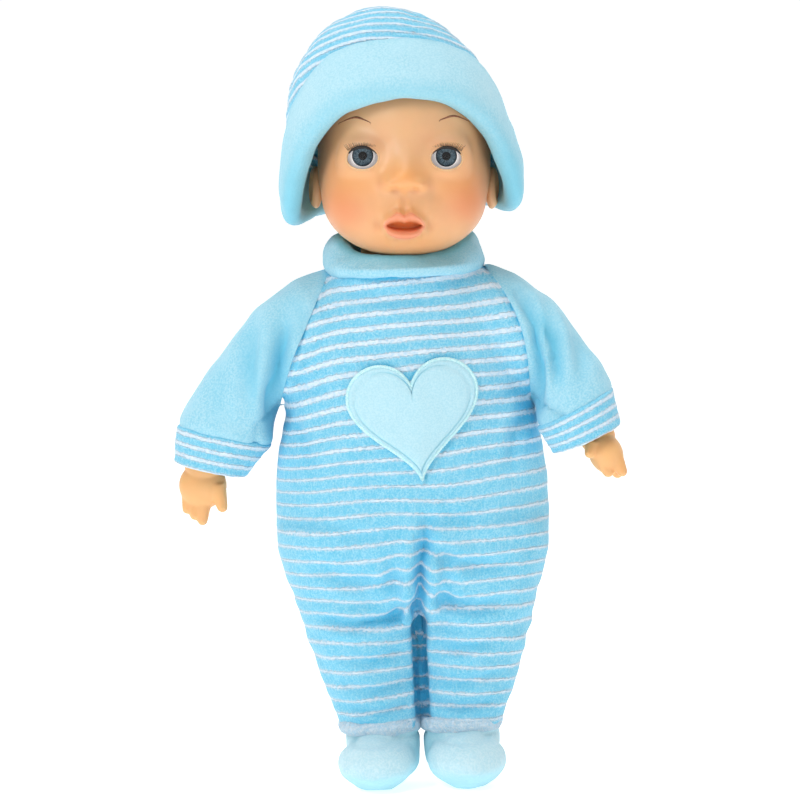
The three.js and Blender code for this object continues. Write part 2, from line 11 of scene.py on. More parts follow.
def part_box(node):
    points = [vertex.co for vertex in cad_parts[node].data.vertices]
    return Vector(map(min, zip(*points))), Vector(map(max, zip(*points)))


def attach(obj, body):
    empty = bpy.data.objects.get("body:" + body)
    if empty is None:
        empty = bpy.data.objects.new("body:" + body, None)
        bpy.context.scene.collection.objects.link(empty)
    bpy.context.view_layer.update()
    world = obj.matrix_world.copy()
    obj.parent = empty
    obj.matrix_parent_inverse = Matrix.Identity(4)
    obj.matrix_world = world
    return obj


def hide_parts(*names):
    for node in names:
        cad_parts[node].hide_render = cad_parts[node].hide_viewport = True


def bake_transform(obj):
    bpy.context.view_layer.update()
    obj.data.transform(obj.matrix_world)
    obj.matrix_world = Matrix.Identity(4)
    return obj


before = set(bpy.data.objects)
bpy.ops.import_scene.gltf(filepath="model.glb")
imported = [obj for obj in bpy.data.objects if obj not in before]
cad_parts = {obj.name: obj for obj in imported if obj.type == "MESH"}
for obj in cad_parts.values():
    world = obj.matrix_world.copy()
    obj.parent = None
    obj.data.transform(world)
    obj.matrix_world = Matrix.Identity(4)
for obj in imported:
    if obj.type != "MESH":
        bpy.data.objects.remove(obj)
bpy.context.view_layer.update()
random.seed(7)

# pieces are modelled in millimetres about the doll's own upright axis, which runs through the collar
collarLow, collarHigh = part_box("collar")
dollAxis = (collarLow + collarHigh) / 2
toFrame = Matrix.Translation((dollAxis.x, dollAxis.y, 0)) @ Matrix.Scale(0.001, 4)
sides = {"left": 1, "right": -1}


# ---------- modelling helpers ----------
def ease(t):
    t = np.clip(t, 0, 1)
    return t * t * (3 - 2 * t)


class Clay:  # the points of a mesh in millimetres, pushed about like clay
    def __init__(self, bm):
        self.bm = bm
        self.p = np.array([v.co for v in bm.verts], float)

    def pull(self, at, size, move):
        reach = np.linalg.norm((self.p - np.array(at)) / np.array(size), axis=1)
        self.p += ease(1 - reach)[:, None] * np.array(move, float)

    def settle(self):
        for v, co in zip(self.bm.verts, self.p):
            v.co = co
        return self.bm


def blockBall(cuts):  # an even ball of square faces, radius 1
    bm = bmesh.new()
    bmesh.ops.create_cube(bm, size=2)
    bmesh.ops.subdivide_edges(bm, edges=bm.edges[:], cuts=cuts, use_grid_fill=True)
    for v in bm.verts:
        x, y, z = (sin(c * pi / 4) / cos(c * pi / 4) for c in v.co)
        v.co = Vector((x, y, z)).normalized()
    return bm


def applyModifiers(obj):
    depsgraph = bpy.context.evaluated_depsgraph_get()
    mesh = bpy.data.meshes.new_from_object(obj.evaluated_get(depsgraph))
    obj.modifiers.clear()
    old = obj.data
    obj.data = mesh
    bpy.data.meshes.remove(old)


def makeObject(bm, name, *materials, turn=None):
    if turn is not None:
        bm.transform(turn)
    bmesh.ops.recalc_face_normals(bm, faces=bm.faces[:])
    for face in bm.faces:
        face.smooth = True
    bm.transform(toFrame)
    mesh = bpy.data.meshes.new(name)
    bm.to_mesh(mesh)
    bm.free()
    obj = bpy.data.objects.new(name, mesh)
    bpy.context.scene.collection.objects.link(obj)
    for material in materials:
        mesh.materials.append(material)
    return obj


def cutAway(obj, cutterMesh, lining=None):
    cutter = makeObject(cutterMesh, "cutter", *([lining] if lining else []))
    cut = obj.modifiers.new("cut", "BOOLEAN")
    cut.operation = "DIFFERENCE"
    cut.solver = "EXACT"
    cut.object = cutter
    cut.material_mode = "TRANSFER" if lining else "INDEX"
    applyModifiers(obj)
    bpy.data.objects.remove(cutter)


def pointsOf(obj):  # in millimetres about the doll's axis
    co = np.empty(len(obj.data.vertices) * 3)
    obj.data.vertices.foreach_get("co", co)
    return (co.reshape(-1, 3) - np.array([dollAxis.x, dollAxis.y, 0])) * 1000


def paintMask(obj, name, values):
    mask = obj.data.attributes.new(name, "FLOAT", "POINT")
    mask.data.foreach_set("value", np.clip(values, 0, 1).astype(np.float32))


def rounded(points, steps):  # a closed outline through the points, as a smooth curve
    n = len(points)
    out = []
    for i in range(n):
        a, b, c, d = (np.array(points[(i + k) % n], float) for k in (-1, 0, 1, 2))
        for s in range(steps):
            t = s / steps
            out.append(tuple(0.5 * (2 * b + (c - a) * t + (2 * a - 5 * b + 4 * c - d) * t * t +
                                    (3 * b - a - 3 * c + d) * t**3)))
    return out


def bridge(bm, loops):  # joins each loop of points to the next with quads
    for below, above in zip(loops, loops[1:]):
        for i in range(len(below)):
            j = (i + 1) % len(below)
            bm.faces.new((below[i], below[j], above[j], above[i]))


def spun(points, steps, closed=True):  # an outline of radius and height, turned about the upright axis
    bm = bmesh.new()
    ring = [bm.verts.new((r, 0, z)) for r, z in points]
    pairs = zip(ring, ring[1:] + ring[:1]) if closed else zip(ring, ring[1:])
    edges = [bm.edges.new(pair) for pair in pairs]
    bmesh.ops.spin(bm, geom=ring + edges, axis=(0, 0, 1), cent=(0, 0, 0), angle=2 * pi, steps=steps,
                   use_merge=True)
    bmesh.ops.remove_doubles(bm, verts=bm.verts[:], dist=0.0005)
    return bm


# ---------- material helpers ----------
class Shader:
    def __init__(self, name, colour, roughness, **settings):
        self.material = bpy.data.materials.new(name)
        self.material.use_nodes = True
        self.tree = self.material.node_tree
        self.surface = self.tree.nodes["Principled BSDF"]
        self.surface.inputs["Base Color"].default_value = (*colour, 1)
        self.surface.inputs["Roughness"].default_value = roughness
        for socket, value in settings.items():
            self.surface.inputs[socket.replace("_", " ")].default_value = value
        self.where = self.node("ShaderNodeTexCoord").outputs["Object"]

    def node(self, kind, **settings):
        made = self.tree.nodes.new(kind)
        for key, value in settings.items():
            setattr(made, key, value)
        return made

    def link(self, source, target):
        self.tree.links.new(source, target)

    def mask(self, name):
        return self.node("ShaderNodeAttribute", attribute_name=name).outputs["Fac"]

    def scaled(self, size, vector=None):
        mapping = self.node("ShaderNodeMapping")
        mapping.inputs["Scale"].default_value = size if hasattr(size, "__len__") else (size,) * 3
        self.link(vector or self.where, mapping.inputs["Vector"])
        return mapping.outputs["Vector"]

    def noise(self, scale, detail=2, roughness=0.5, vector=None):
        made = self.node("ShaderNodeTexNoise")
        made.inputs["Scale"].default_value = scale
        made.inputs["Detail"].default_value = detail
        made.inputs["Roughness"].default_value = roughness
        self.link(vector or self.where, made.inputs["Vector"])
        return made.outputs["Fac"]

    def ramp(self, value, low, high, toLow=0.0, toHigh=1.0):
        made = self.node("ShaderNodeMapRange", interpolation_type="SMOOTHSTEP")
        for key, number in (("From Min", low), ("From Max", high), ("To Min", toLow), ("To Max", toHigh)):
            made.inputs[key].default_value = number
        self.link(value, made.inputs["Value"])
        return made.outputs["Result"]

    def sum(self, kind, a, b=None):
        made = self.node("ShaderNodeMath", operation=kind)
        for socket, value in zip(made.inputs, (a, b)):
            if isinstance(value, (int, float)):
                socket.default_value = value
            elif value is not None:
                self.link(value, socket)
        return made.outputs[0]

    def mix(self, factor, a, b, blend="MIX"):
        made = self.node("ShaderNodeMix", data_type="RGBA", blend_type=blend)
        if isinstance(factor, (int, float)):
            made.inputs["Factor"].default_value = factor
        else:
            self.link(factor, made.inputs["Factor"])
        for socket, value in (("A", a), ("B", b)):
            target = [s for s in made.inputs if s.name == socket and s.type == "RGBA"][0]
            if isinstance(value, tuple):
                target.default_value = (*value, 1)
            else:
                self.link(value, target)
        return [s for s in made.outputs if s.type == "RGBA"][0]

    def colour(self, source):
        self.link(source, self.surface.inputs["Base Color"])

    def rough(self, source):
        self.link(source, self.surface.inputs["Roughness"])

    def bump(self, height, distance, strength=1.0):
        made = self.node("ShaderNodeBump")
        made.inputs["Distance"].default_value = distance
        made.inputs["Strength"].default_value = strength
        self.link(height, made.inputs["Height"])
        previous = self.surface.inputs["Normal"].links
        if previous:
            self.link(previous[0].from_socket, made.inputs["Normal"])
        self.link(made.outputs["Normal"], self.surface.inputs["Normal"])


# the whole head leans a little towards the doll's left shoulder
neckHeight = 200
headLean = 2.4  # degrees, towards the doll's left
neck = Matrix.Translation((0, 0, neckHeight))
neckTurn = neck @ Matrix.Rotation(radians(headLean), 4, "Y") @ neck.inverted()


def onHead(obj, body="head"):
    obj.data.transform(toFrame @ neckTurn @ toFrame.inverted())
    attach(obj, body)


# ---------- head ----------
face = {
    "crown": ((0, 1, 257), (34, 36.5, 35)),
    "front": ((0, -3, 240), (34, 38, 30)),
    "jaw": ((0, -14, 229), (31, 25, 21.5)),
    "eyeX": 15.9,
    "eyeZ": 247.2,
    "mouthZ": 221.0,
    # warm orange tint of the vinyl, which on the chin and the sides of the face is also painted shade
    "skin": (0.79, 0.45, 0.23),
    "warmthAndShade": (0.82, 0.36, 0.11),
    "shade": (0.60, 0.25, 0.13),
    "blush": (0.76, 0.25, 0.10),
    "lips": (0.78, 0.25, 0.14),
    "mouth": (0.66, 0.17, 0.05),
    "brow": (0.20, 0.06, 0.025),
}


def hump(p, at, size, below=None):  # a soft bump over the face, seen from the front
    across = (p[:, 0] - at[0]) / size[0]
    up = p[:, 2] - at[1]
    up = np.where(up < 0, up / (below or size[1]), up / size[1])
    return np.exp(-(across**2 + up**2))


def mouthDepth(p):  # how far inside the open mouth a point is, negative outside it
    x = np.abs(p[:, 0])
    round_ = np.sqrt(np.clip(1 - (x / 6.9) ** 2, 0, 1))
    top = face["mouthZ"] + 2.2 * round_**1.3 - 0.7 * np.exp(-((x / 1.5) ** 2))
    bottom = face["mouthZ"] - 2.6 * round_
    inside = np.minimum(top - p[:, 2], p[:, 2] - bottom)
    return np.where(inside < 0, -np.hypot(inside, np.clip(x - 6.6, 0, None)), inside)


def sculptHead():
    bm = blockBall(55)
    nearFace = [e for e in bm.edges if all(v.co.y < -0.55 and v.co.z < 0.62 for v in e.verts)]
    bmesh.ops.subdivide_edges(bm, edges=nearFace, cuts=1, use_grid_fill=True)
    clay = Clay(bm)
    middle = np.array([0, -6, 240.0])
    way = clay.p / np.linalg.norm(clay.p, axis=1)[:, None]
    reach = np.zeros(len(way))
    lids = [((side * face["eyeX"], -27.4, face["eyeZ"] - 0.3), (9.2, 9.1, 9.0)) for side in (1, -1)]
    for at, radii in [face["crown"], face["front"], face["jaw"]] + lids:
        m = (middle - np.array(at)) / np.array(radii)
        d = way / np.array(radii)
        a, b, c = (d * d).sum(1), (d * m).sum(1), (m * m).sum() - 1
        reach += np.clip((-b + np.sqrt(np.clip(b * b - a * c, 0, None))) / a, 0, None) ** 14 * (b * b > a * c)
    clay.p = middle + way * (reach ** (1 / 14))[:, None] * 0.975
    forward = np.clip((-3 - clay.p[:, 1]) / 38, 0, 1)  # the face is flatter than a ball
    clay.p[:, 1] -= 38 * (forward**0.82 - forward)
    clay.settle()
    nearEyes = [v for v in bm.verts if v.co.y < -12 and 234 < v.co.z < 263 and 4 < abs(v.co.x) < 33]
    for _ in range(10):
        bmesh.ops.smooth_vert(bm, verts=nearEyes, factor=0.5, use_axis_x=True, use_axis_y=True,
                              use_axis_z=True)
    clay.p = np.array([v.co for v in bm.verts], float)
    front = ease((-clay.p[:, 1] - 10) / 14)
    for side in (1, -1):
        clay.pull((side * 22, -27, 228), 17, (side * 1.0, -2.4, -0.6))  # cheeks
        clay.pull((side * 30, -18, 250), 16, (-side * 0.8, 0.4, 0))
    p = clay.p
    out = 6.4 * np.tanh(1.5 * hump(p, (0, 238.2), (4.9, 5.2), 3.4))  # nose
    out += 1.6 * hump(p, (0, 245.0), (5.0, 7))
    out += 0.9 * hump(p, (0, 213.6), (7, 4))  # chin
    out -= 0.5 * hump(p, (0, 230.3), (1.1, 2.2))
    out += 1.0 * hump(p, (0, 262), (16, 8))
    out += 2.3 * hump(p, (0, 222), (10.5, 7))
    for side in (1, -1):
        out += 4.4 * hump(p, (side * 6.4, 236.6), (2.8, 3.0), 2.2)
        out -= 1.3 * hump(p, (side * 3.6, 234.3), (1.6, 0.9), 0.9)
        out += 0.5 * hump(p, (side * 1.9, 229.8), (0.9, 2.4))
        out -= 0.2 * hump(p, (side * 15.5, 256.5), (9, 3.5))  # above the eyes
        out -= 0.7 * hump(p, (side * 7.6, 248.5), (3.2, 5.5))
        out += 0.7 * hump(p, (side * 16.5, 241), (6.5, 1.8))
        out -= 1.3 * hump(p, (side * 9.8, 221.2), (1.8, 2.4))  # corners of the mouth
        out -= 0.5 * hump(p, (side * 11, 232), (2.6, 5))
        rim = np.hypot((p[:, 0] - side * face["eyeX"]) / 7.3, (p[:, 2] - face["eyeZ"] - 0.1) / 5.4)
        out += 0.45 * np.exp(-(((rim - 1.0) / 0.3) ** 2))
    depth = mouthDepth(p)
    taper = np.clip(1 - (np.abs(p[:, 0]) / 9.2) ** 2, 0, 1) ** 0.6
    upper = np.where(p[:, 2] > face["mouthZ"], 1.0, 0.0)
    bow = np.exp(-(((np.abs(p[:, 0]) - 2.6) / 1.8) ** 2))
    fullness = 1.75 + (1 - upper) * 0.15 + upper * 0.5 * bow
    out += 3.2 * taper * np.exp(-(((depth + fullness * 0.85) / fullness) ** 2))
    out -= 3.0 * ease(depth / 1.3)
    clay.p[:, 1] -= out * front
    clay.settle()
    return bm


def eyeCutter(side):
    bm = bmesh.new()
    bmesh.ops.create_circle(bm, segments=64, radius=1, cap_ends=True)
    for v in bm.verts:
        angle = atan2(v.co.y, v.co.x)
        across, up = cos(angle), sin(angle)
        outer = across * side > 0
        lift = -0.4 * max(0, across * side) ** 2
        squeeze = abs(up) ** (0.12 if outer else 0.06)
        v.co = (side * face["eyeX"] + 6.0 * across, -60, face["eyeZ"] - 0.6 + lift + 4.55 * up * squeeze)
    made = bmesh.ops.extrude_face_region(bm, geom=bm.faces[:])
    for item in made["geom"]:
        if isinstance(item, bmesh.types.BMVert):
            item.co.y = -30
    bmesh.ops.recalc_face_normals(bm, faces=bm.faces[:])
    return bm


def eyePocket(side):
    bm = bmesh.new()
    bmesh.ops.create_uvsphere(bm, u_segments=32, v_segments=20, radius=8.05)
    bm.transform(Matrix.Translation((side * face["eyeX"], -27.4, face["eyeZ"])))
    return bm


def earMesh(side):
    bm = blockBall(15)
    clay = Clay(bm)
    clay.p *= np.array([2.6, 5.4, 8.2])
    bowl = np.hypot((clay.p[:, 1] + 0.8) / 3.2, (clay.p[:, 2] - 0.6) / 5.4)
    outside = clay.p[:, 0] > 0
    clay.p[:, 0] -= np.where(outside, 2.2 * ease(1.15 - bowl), 0)
    clay.p[:, 0] += np.where(outside, 0.5 * np.exp(-(((bowl - 1.25) / 0.25) ** 2)), 0)
    clay.p[:, 0] += 0.12 * clay.p[:, 1]
    clay.settle()
    bmesh.ops.scale(bm, vec=(side, 1, 1), verts=bm.verts[:])
    bm.transform(Matrix.Translation((side * 34.2, 3, 234)))
    return bm


def neckMesh():
    outline = [(0, 188), (19, 188), (20, 189), (20, 191), (19, 192), (16.5, 192.6), (16.4, 203), (16.8, 214),
               (18, 222), (0, 224)]
    return spun(outline, 48, closed=False)


def gather(*parts):  # several loose meshes in one
    whole = bmesh.new()
    for part in parts:
        mesh = bpy.data.meshes.new("part")
        bmesh.ops.recalc_face_normals(part, faces=part.faces[:])
        part.to_mesh(mesh)
        part.free()
        whole.from_mesh(mesh)
        bpy.data.meshes.remove(mesh)
    return whole


def vinylMaterial(name, painted, colour=face["skin"]):
    skin = Shader(name, colour, 0.42, Subsurface_Weight=0.22, Subsurface_Scale=0.004, IOR=1.46,
                  Coat_Weight=0.12, Coat_Roughness=0.35)
    skin.surface.inputs["Subsurface Radius"].default_value = (1.0, 0.45, 0.25)
    mottled = skin.mix(skin.ramp(skin.noise(70, 3), 0.35, 0.7), colour, tuple(c * 0.94 for c in colour))
    if painted:
        for mask in ("warmthAndShade", "shade", "blush", "lips", "mouth"):
            mottled = skin.mix(skin.mask(mask), mottled, face[mask])
        gloss = skin.sum("MAXIMUM", skin.mask("lips"), skin.mask("mouth"))
        skin.rough(skin.ramp(gloss, 0, 1, 0.43, 0.2))
    skin.colour(mottled)
    skin.bump(skin.noise(1400, 2), 0.00003, 0.5)
    return skin.material


brow = {  # from the inner end outwards, seen from the front
    "left": ((13.4, 260.2), (16.0, 261.8), (19.0, 262.4), (22.2, 261.4), (24.8, 259.6)),
    "right": ((-13.2, 259.2), (-16.0, 261.1), (-19.0, 261.7), (-22.4, 260.6), (-25.0, 258.8)),
    "half": 0.38, "lift": 0.1,
}


def frontOf(tree, x, z):
    return tree.ray_cast(Vector((x, -90, z)), Vector((0, 1, 0)))[0].y


def buildBrows(tree):
    paint = Shader("browPaint", face["brow"], 0.5)
    paint.colour(paint.mix(paint.ramp(paint.noise(900, 2), 0.35, 0.65), face["brow"], (0.34, 0.12, 0.05)))
    for name in sides:
        points = rounded(brow[name], 8)[:33]
        bm = bmesh.new()
        layers = {-1: [], 1: []}
        for i, (x, z) in enumerate(points):
            t = i / (len(points) - 1)
            half = brow["half"] * min(1, t / 0.35, (1 - t) / 0.55) ** 0.8 + 0.03
            for edge in (-1, 1):
                y = frontOf(tree, x, z + edge * half)
                layers[edge].append((bm.verts.new((x, y - brow["lift"], z + edge * half)),
                                     bm.verts.new((x, y + 0.3, z + edge * half))))
        low, high = layers[-1], layers[1]
        for i in range(len(points) - 1):
            bm.faces.new((low[i][0], low[i + 1][0], high[i + 1][0], high[i][0]))
            bm.faces.new((low[i][1], high[i][1], high[i + 1][1], low[i + 1][1]))
            bm.faces.new((low[i][0], low[i][1], low[i + 1][1], low[i + 1][0]))
            bm.faces.new((high[i][0], high[i + 1][0], high[i + 1][1], high[i][1]))
        for i in (0, -1):
            bm.faces.new((low[i][0], high[i][0], high[i][1], low[i][1]))
        made = makeObject(bm, name + "Brow", paint.material)
        onHead(made)


def eyeOutline(side, grow, angle):
    across, up = cos(angle), sin(angle)
    lift = -0.4 * max(0, across * side) ** 2
    return side * face["eyeX"] + (6.0 + grow) * across, face["eyeZ"] - 0.6 + lift + (4.55 + grow) * up


def buildRims(tree, skin):  # the soft raised rim round each eye
    for name, side in sides.items():
        bm = bmesh.new()
        count, around = 96, 10
        loops = []
        for i in range(count):
            angle = 2 * pi * i / count
            x, z = eyeOutline(side, 0.15, angle)
            y = frontOf(tree, x, z) + 0.25
            out = Vector((cos(angle), 0, sin(angle)))
            thick = 0.42 + 0.1 * max(0, sin(angle))
            turns = [2 * pi * s / around for s in range(around)]
            spot = Vector((x, y, z))
            loops.append([bm.verts.new(spot + out * (thick * cos(a)) + Vector((0, thick * sin(a), 0)))
                          for a in turns])
        bridge(bm, loops + loops[:1])
        rim = makeObject(bm, name + "EyeRim", skin)
        p = pointsOf(rim)
        paintMask(rim, "shade", 0.45 * ease((p[:, 2] - 247.5) / 3))
        onHead(rim)


def buildHead():
    skin = vinylMaterial("paintedVinyl", True)
    # painted shade: the cut walls of the eye sockets are painted dark brown for the shade that falls in them,
    # with a random mottle
    socket = Shader("socketPaintedShade", (0.16, 0.05, 0.03), 0.6)
    shadeMottle = socket.ramp(socket.noise(500, 2), 0.4, 0.6)
    socket.colour(socket.mix(shadeMottle, (0.16, 0.05, 0.03), (0.10, 0.03, 0.02)))
    sculpted = sculptHead()
    surface = BVHTree.FromBMesh(sculpted)
    head = makeObject(sculpted, "head", skin)
    for side in sides.values():
        cutAway(head, eyeCutter(side), socket.material)
        cutAway(head, eyePocket(side), socket.material)
    rest = makeObject(gather(earMesh(1), earMesh(-1), neckMesh()), "ears", skin)
    bm = bmesh.new()
    for part in (head, rest):
        bm.from_mesh(part.data)
    bpy.data.objects.remove(rest)
    for f in bm.faces:
        f.smooth = True
    bm.to_mesh(head.data)
    bm.free()
    head.data.set_sharp_from_angle(angle=radians(50))
    p = pointsOf(head)
    front = ease((-p[:, 1] - 20) / 8)
    depth = mouthDepth(p)
    taper = np.clip(1 - (np.abs(p[:, 0]) / 9.0) ** 2, 0, 1) ** 0.5
    bow = 2.6 + 0.7 * np.exp(-(((np.abs(p[:, 0]) - 2.6) / 1.8) ** 2))
    width = np.where(p[:, 2] > face["mouthZ"], bow, 2.9) * taper
    paintMask(head, "lips", 0.75 * front * ease((depth + width + 0.5) / 0.9) * (np.abs(p[:, 0]) < 9))
    paintMask(head, "mouth", front * ease((depth - 0.1) / 0.9))
    blush = hump(p, (-22.5, 226), (9.5, 8.5)) + hump(p, (24, 229), (9.5, 8.5))
    paintMask(head, "blush", 0.7 * blush * ease((-p[:, 1] - 4) / 12))
    # painted warmth: the vinyl's own orange tint on nose and cheeks, and painted shade on the chin and the
    # sides of the face
    warmthAndShade = sum(amount * hump(p, at, size) for amount, at, size in (
        (0.8, (0, 240), (9, 6)), (0.5, (-17, 236), (9, 6)), (0.5, (17, 236), (9, 6)),
        (0.7, (0, 214), (19, 9)), (0.35, (0, 226), (12, 5)), (0.5, (-27, 236), (7, 14)),
        (0.5, (27, 238), (7, 14))))
    paintMask(head, "warmthAndShade", warmthAndShade * front)
    shade = sum(amount * hump(p, (side * x, z), size) for side in (1, -1) for amount, x, z, size in (
        (0.28, 9.5, 252, (5, 4.5)), (0.2, 16, 253.5, (7, 2.0)), (0.28, 3.6, 234.0, (1.8, 0.8)),
        (0.3, 9.4, 236.6, (1.3, 3.4)), (0.1, 4, 232.8, (4.5, 1.3)), (0.2, 10, 221, (2, 2.4))))
    shade = shade + 0.5 * ease((p[:, 2] + 0.010 * p[:, 0] ** 2 - 264) / 8)
    sideways = 0.42 * ease((np.abs(p[:, 0]) - 19) / 13) * ease((4 - p[:, 1]) / 12)
    under = 0.35 * ease((218 - p[:, 2]) / 9) * ease((-p[:, 1] - 6) / 8)
    paintMask(head, "shade", shade * front + sideways + under)
    buildBrows(surface)
    buildRims(surface, skin)
    onHead(head)
    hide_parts("head_shell")
    print("head modelled")


# ---------- sleep eyes ----------
eye = {"ball": 7.5, "iris": 4.15, "lid": 29, "lashes": 30}


def irisMaterial():
    iris = Shader("streakedIris", (0.2, 0.3, 0.36), 0.35, Coat_Weight=0.1, Coat_Roughness=0.1)
    flat = iris.node("ShaderNodeUVMap", uv_map="UVMap").outputs["UV"]
    split = iris.node("ShaderNodeSeparateXYZ")
    iris.link(flat, split.inputs[0])
    x, y = split.outputs["X"], split.outputs["Y"]
    radius = iris.sum("SQRT", iris.sum("ADD", iris.sum("MULTIPLY", x, x), iris.sum("MULTIPLY", y, y)))
    turn = iris.sum("ARCTAN2", y, x)
    fibre = iris.node("ShaderNodeCombineXYZ")
    iris.link(iris.sum("MULTIPLY", iris.sum("COSINE", turn), 1), fibre.inputs["X"])
    iris.link(iris.sum("MULTIPLY", iris.sum("SINE", turn), 1), fibre.inputs["Y"])
    iris.link(iris.sum("MULTIPLY", radius, 0.35), fibre.inputs["Z"])
    streak = iris.ramp(iris.noise(9, 4, 0.7, fibre.outputs[0]), 0.38, 0.66)
    base = iris.mix(streak, (0.035, 0.085, 0.125), (0.27, 0.42, 0.52))
    pale = iris.ramp(iris.noise(4.2, 3, 0.6, fibre.outputs[0]), 0.52, 0.7)
    nearPupil = iris.sum("MULTIPLY", pale, iris.ramp(radius, 0.85, 0.4))
    base = iris.mix(nearPupil, base, (0.50, 0.62, 0.68))
    base = iris.mix(iris.ramp(radius, 0.76, 0.97), base, (0.008, 0.014, 0.022))
    base = iris.mix(iris.ramp(radius, 0.43, 0.37), base, (0.002, 0.002, 0.003))
    iris.colour(base)
    return iris.material


def eyeballMesh(at):
    bm = bmesh.new()
    bmesh.ops.create_uvsphere(bm, u_segments=72, v_segments=44, radius=eye["ball"])
    bm.transform(Matrix.Rotation(pi / 2, 4, "X"))
    for v in bm.verts:
        fromAxis = hypot(v.co.x, v.co.z)
        if v.co.y < 0 and fromAxis < eye["iris"]:
            v.co.y = -5.9 - 0.25 * (fromAxis / eye["iris"]) ** 2  # the iris lies in a shallow dish
    uv = bm.loops.layers.uv.new("UVMap")
    for f in bm.faces:
        middle = f.calc_center_median()
        rise = degrees(atan2(middle.z, -middle.y))
        if middle.y < 0 and hypot(middle.x, middle.z) < eye["iris"] - 0.1:
            f.material_index = 1
        elif eye["lid"] < rise < 150:
            f.material_index = 2
        for loop in f.loops:
            loop[uv].uv = (loop.vert.co.x / eye["iris"], loop.vert.co.z / eye["iris"])
    bmesh.ops.create_cone(bm, cap_ends=True, segments=12, radius1=0.8, radius2=0.8, depth=16.4,
                          matrix=Matrix.Rotation(pi / 2, 4, "Y"))
    bm.transform(Matrix.Translation(at))
    return bm


def corneaMesh(at):
    bm = bmesh.new()
    bmesh.ops.create_uvsphere(bm, u_segments=48, v_segments=48, radius=6.0)
    bm.transform(Matrix.Translation((0, -1.75, 0)) @ Matrix.Rotation(pi / 2, 4, "X"))
    cut = bmesh.ops.bisect_plane(bm, geom=bm.verts[:] + bm.edges[:] + bm.faces[:], plane_co=(0, -6.2, 0),
                                 plane_no=(0, -1, 0), clear_inner=True)
    rim = [e for e in cut["geom_cut"] if isinstance(e, bmesh.types.BMEdge)]
    bmesh.ops.edgeloop_fill(bm, edges=rim)
    bm.transform(Matrix.Translation(at))
    return bm


def lashMesh(at, side):
    bm = bmesh.new()
    for i in range(eye["lashes"]):
        t = i / (eye["lashes"] - 1) * 2 - 1
        outward = t * side  # 1 at the outer corner
        x = t * 5.2
        lift = radians(28 - 10 * t * t)
        depth = (eye["ball"] ** 2 - x * x) ** 0.5 - 0.3
        root = Vector((x, -depth * cos(lift), depth * sin(lift)))
        grow = 0.75 + 0.35 * max(0, outward) + 0.15 * random.random()
        aside = 0.9 * t + 1.1 * max(0, outward) * side + 0.4 * (random.random() - 0.5)
        before = len(bm.verts)
        bmesh.ops.create_cone(bm, cap_ends=True, segments=5, radius1=0.3, radius2=0.04, depth=1)
        bm.verts.ensure_lookup_table()
        blade = bm.verts[before:]
        long = list({e for v in blade for e in v.link_edges if abs(e.verts[0].co.z - e.verts[1].co.z) > 0.5})
        bmesh.ops.subdivide_edges(bm, edges=long, cuts=5)
        bm.verts.ensure_lookup_table()
        for v in bm.verts[before:]:
            u = v.co.z + 0.5
            sweep = max(0, (u - 0.5) / 0.5) ** 1.5  # out through the opening, then up
            v.co = root + Vector((aside * sweep, -4.4 * u, 2.2 * grow * sweep)) + Vector((v.co.x, 0, v.co.y))
    count, segments = 40, 8
    loops = []
    for i in range(count):  # the dark strip that the lashes are set in
        a = radians(22) + radians(136) * i / (count - 1)
        middle = Vector((5.7 * cos(a), -9.3 + 1.4 * cos(a) ** 2, -0.7 + 4.1 * sin(a)))
        r = 0.58 * sin(pi * (i + 1) / (count + 1)) ** 0.4
        loops.append([bm.verts.new(middle + Vector((0, 1.5 * r * sin(2 * pi * k / segments), 0)) +
                                   Vector((cos(a), 0, sin(a))) * r * cos(2 * pi * k / segments))
                      for k in range(segments)])
    bridge(bm, loops)
    bm.faces.new(loops[0])
    bm.faces.new(loops[-1])
    bm.transform(Matrix.Translation(at))
    return bm


def buildEyes():
    # the eye white also glows a little: painted light that keeps it bright inside its recess
    white = Shader("eyeWhiteAndGlow", (0.90, 0.90, 0.90), 0.22, Coat_Weight=0.8, Coat_Roughness=0.05,
                   Emission_Strength=0.3)
    white.surface.inputs["Emission Color"].default_value = (1, 0.97, 0.95, 1)
    white.colour(white.mix(white.ramp(white.noise(220, 2), 0.4, 0.7), (0.92, 0.92, 0.92), (0.86, 0.85, 0.85)))
    lid = Shader("lidPaint", (0.62, 0.26, 0.15), 0.4)
    lid.colour(lid.mix(lid.ramp(lid.noise(300, 2), 0.4, 0.6), (0.62, 0.26, 0.15), (0.50, 0.19, 0.11)))
    clear = Shader("clearDome", (0, 0, 0), 0.03, Alpha=0.12, IOR=1.45, Specular_IOR_Level=1.0)
    bristle = Shader("lashBristle", (0.012, 0.008, 0.006), 0.55)
    bristle.rough(bristle.ramp(bristle.noise(900, 2), 0.3, 0.7, 0.45, 0.65))
    iris = irisMaterial()
    for name, side in sides.items():
        at = Vector((side * face["eyeX"], -27.9, face["eyeZ"]))
        body = name + "_eye"
        ball = makeObject(eyeballMesh(at), name + "EyeBall", white.material, iris, lid.material)
        ball.data.set_sharp_from_angle(angle=radians(40))
        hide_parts(name + "_eyeball", name + "_iris")
        dome = makeObject(corneaMesh(at), name + "EyeDome", clear.material)
        lashes = makeObject(lashMesh(at, side), name + "Lashes", bristle.material)
        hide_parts(name + "_eyelashes")
        for part in (ball, dome, lashes):
            onHead(part, body)
    print("eyes modelled")


buildHead()
buildEyes()

# ---------- cloth materials ----------
cloth = {
    "striped": (0.20, 0.61, 0.80),
    "stripe": (0.74, 0.85, 0.94),
    "velour": (0.34, 0.66, 0.79),
    "hat": (0.41, 0.69, 0.79),
    "heart": (0.47, 0.74, 0.83),
    "foot": (0.56, 0.79, 0.86),
    "pitch": 5.6,
}


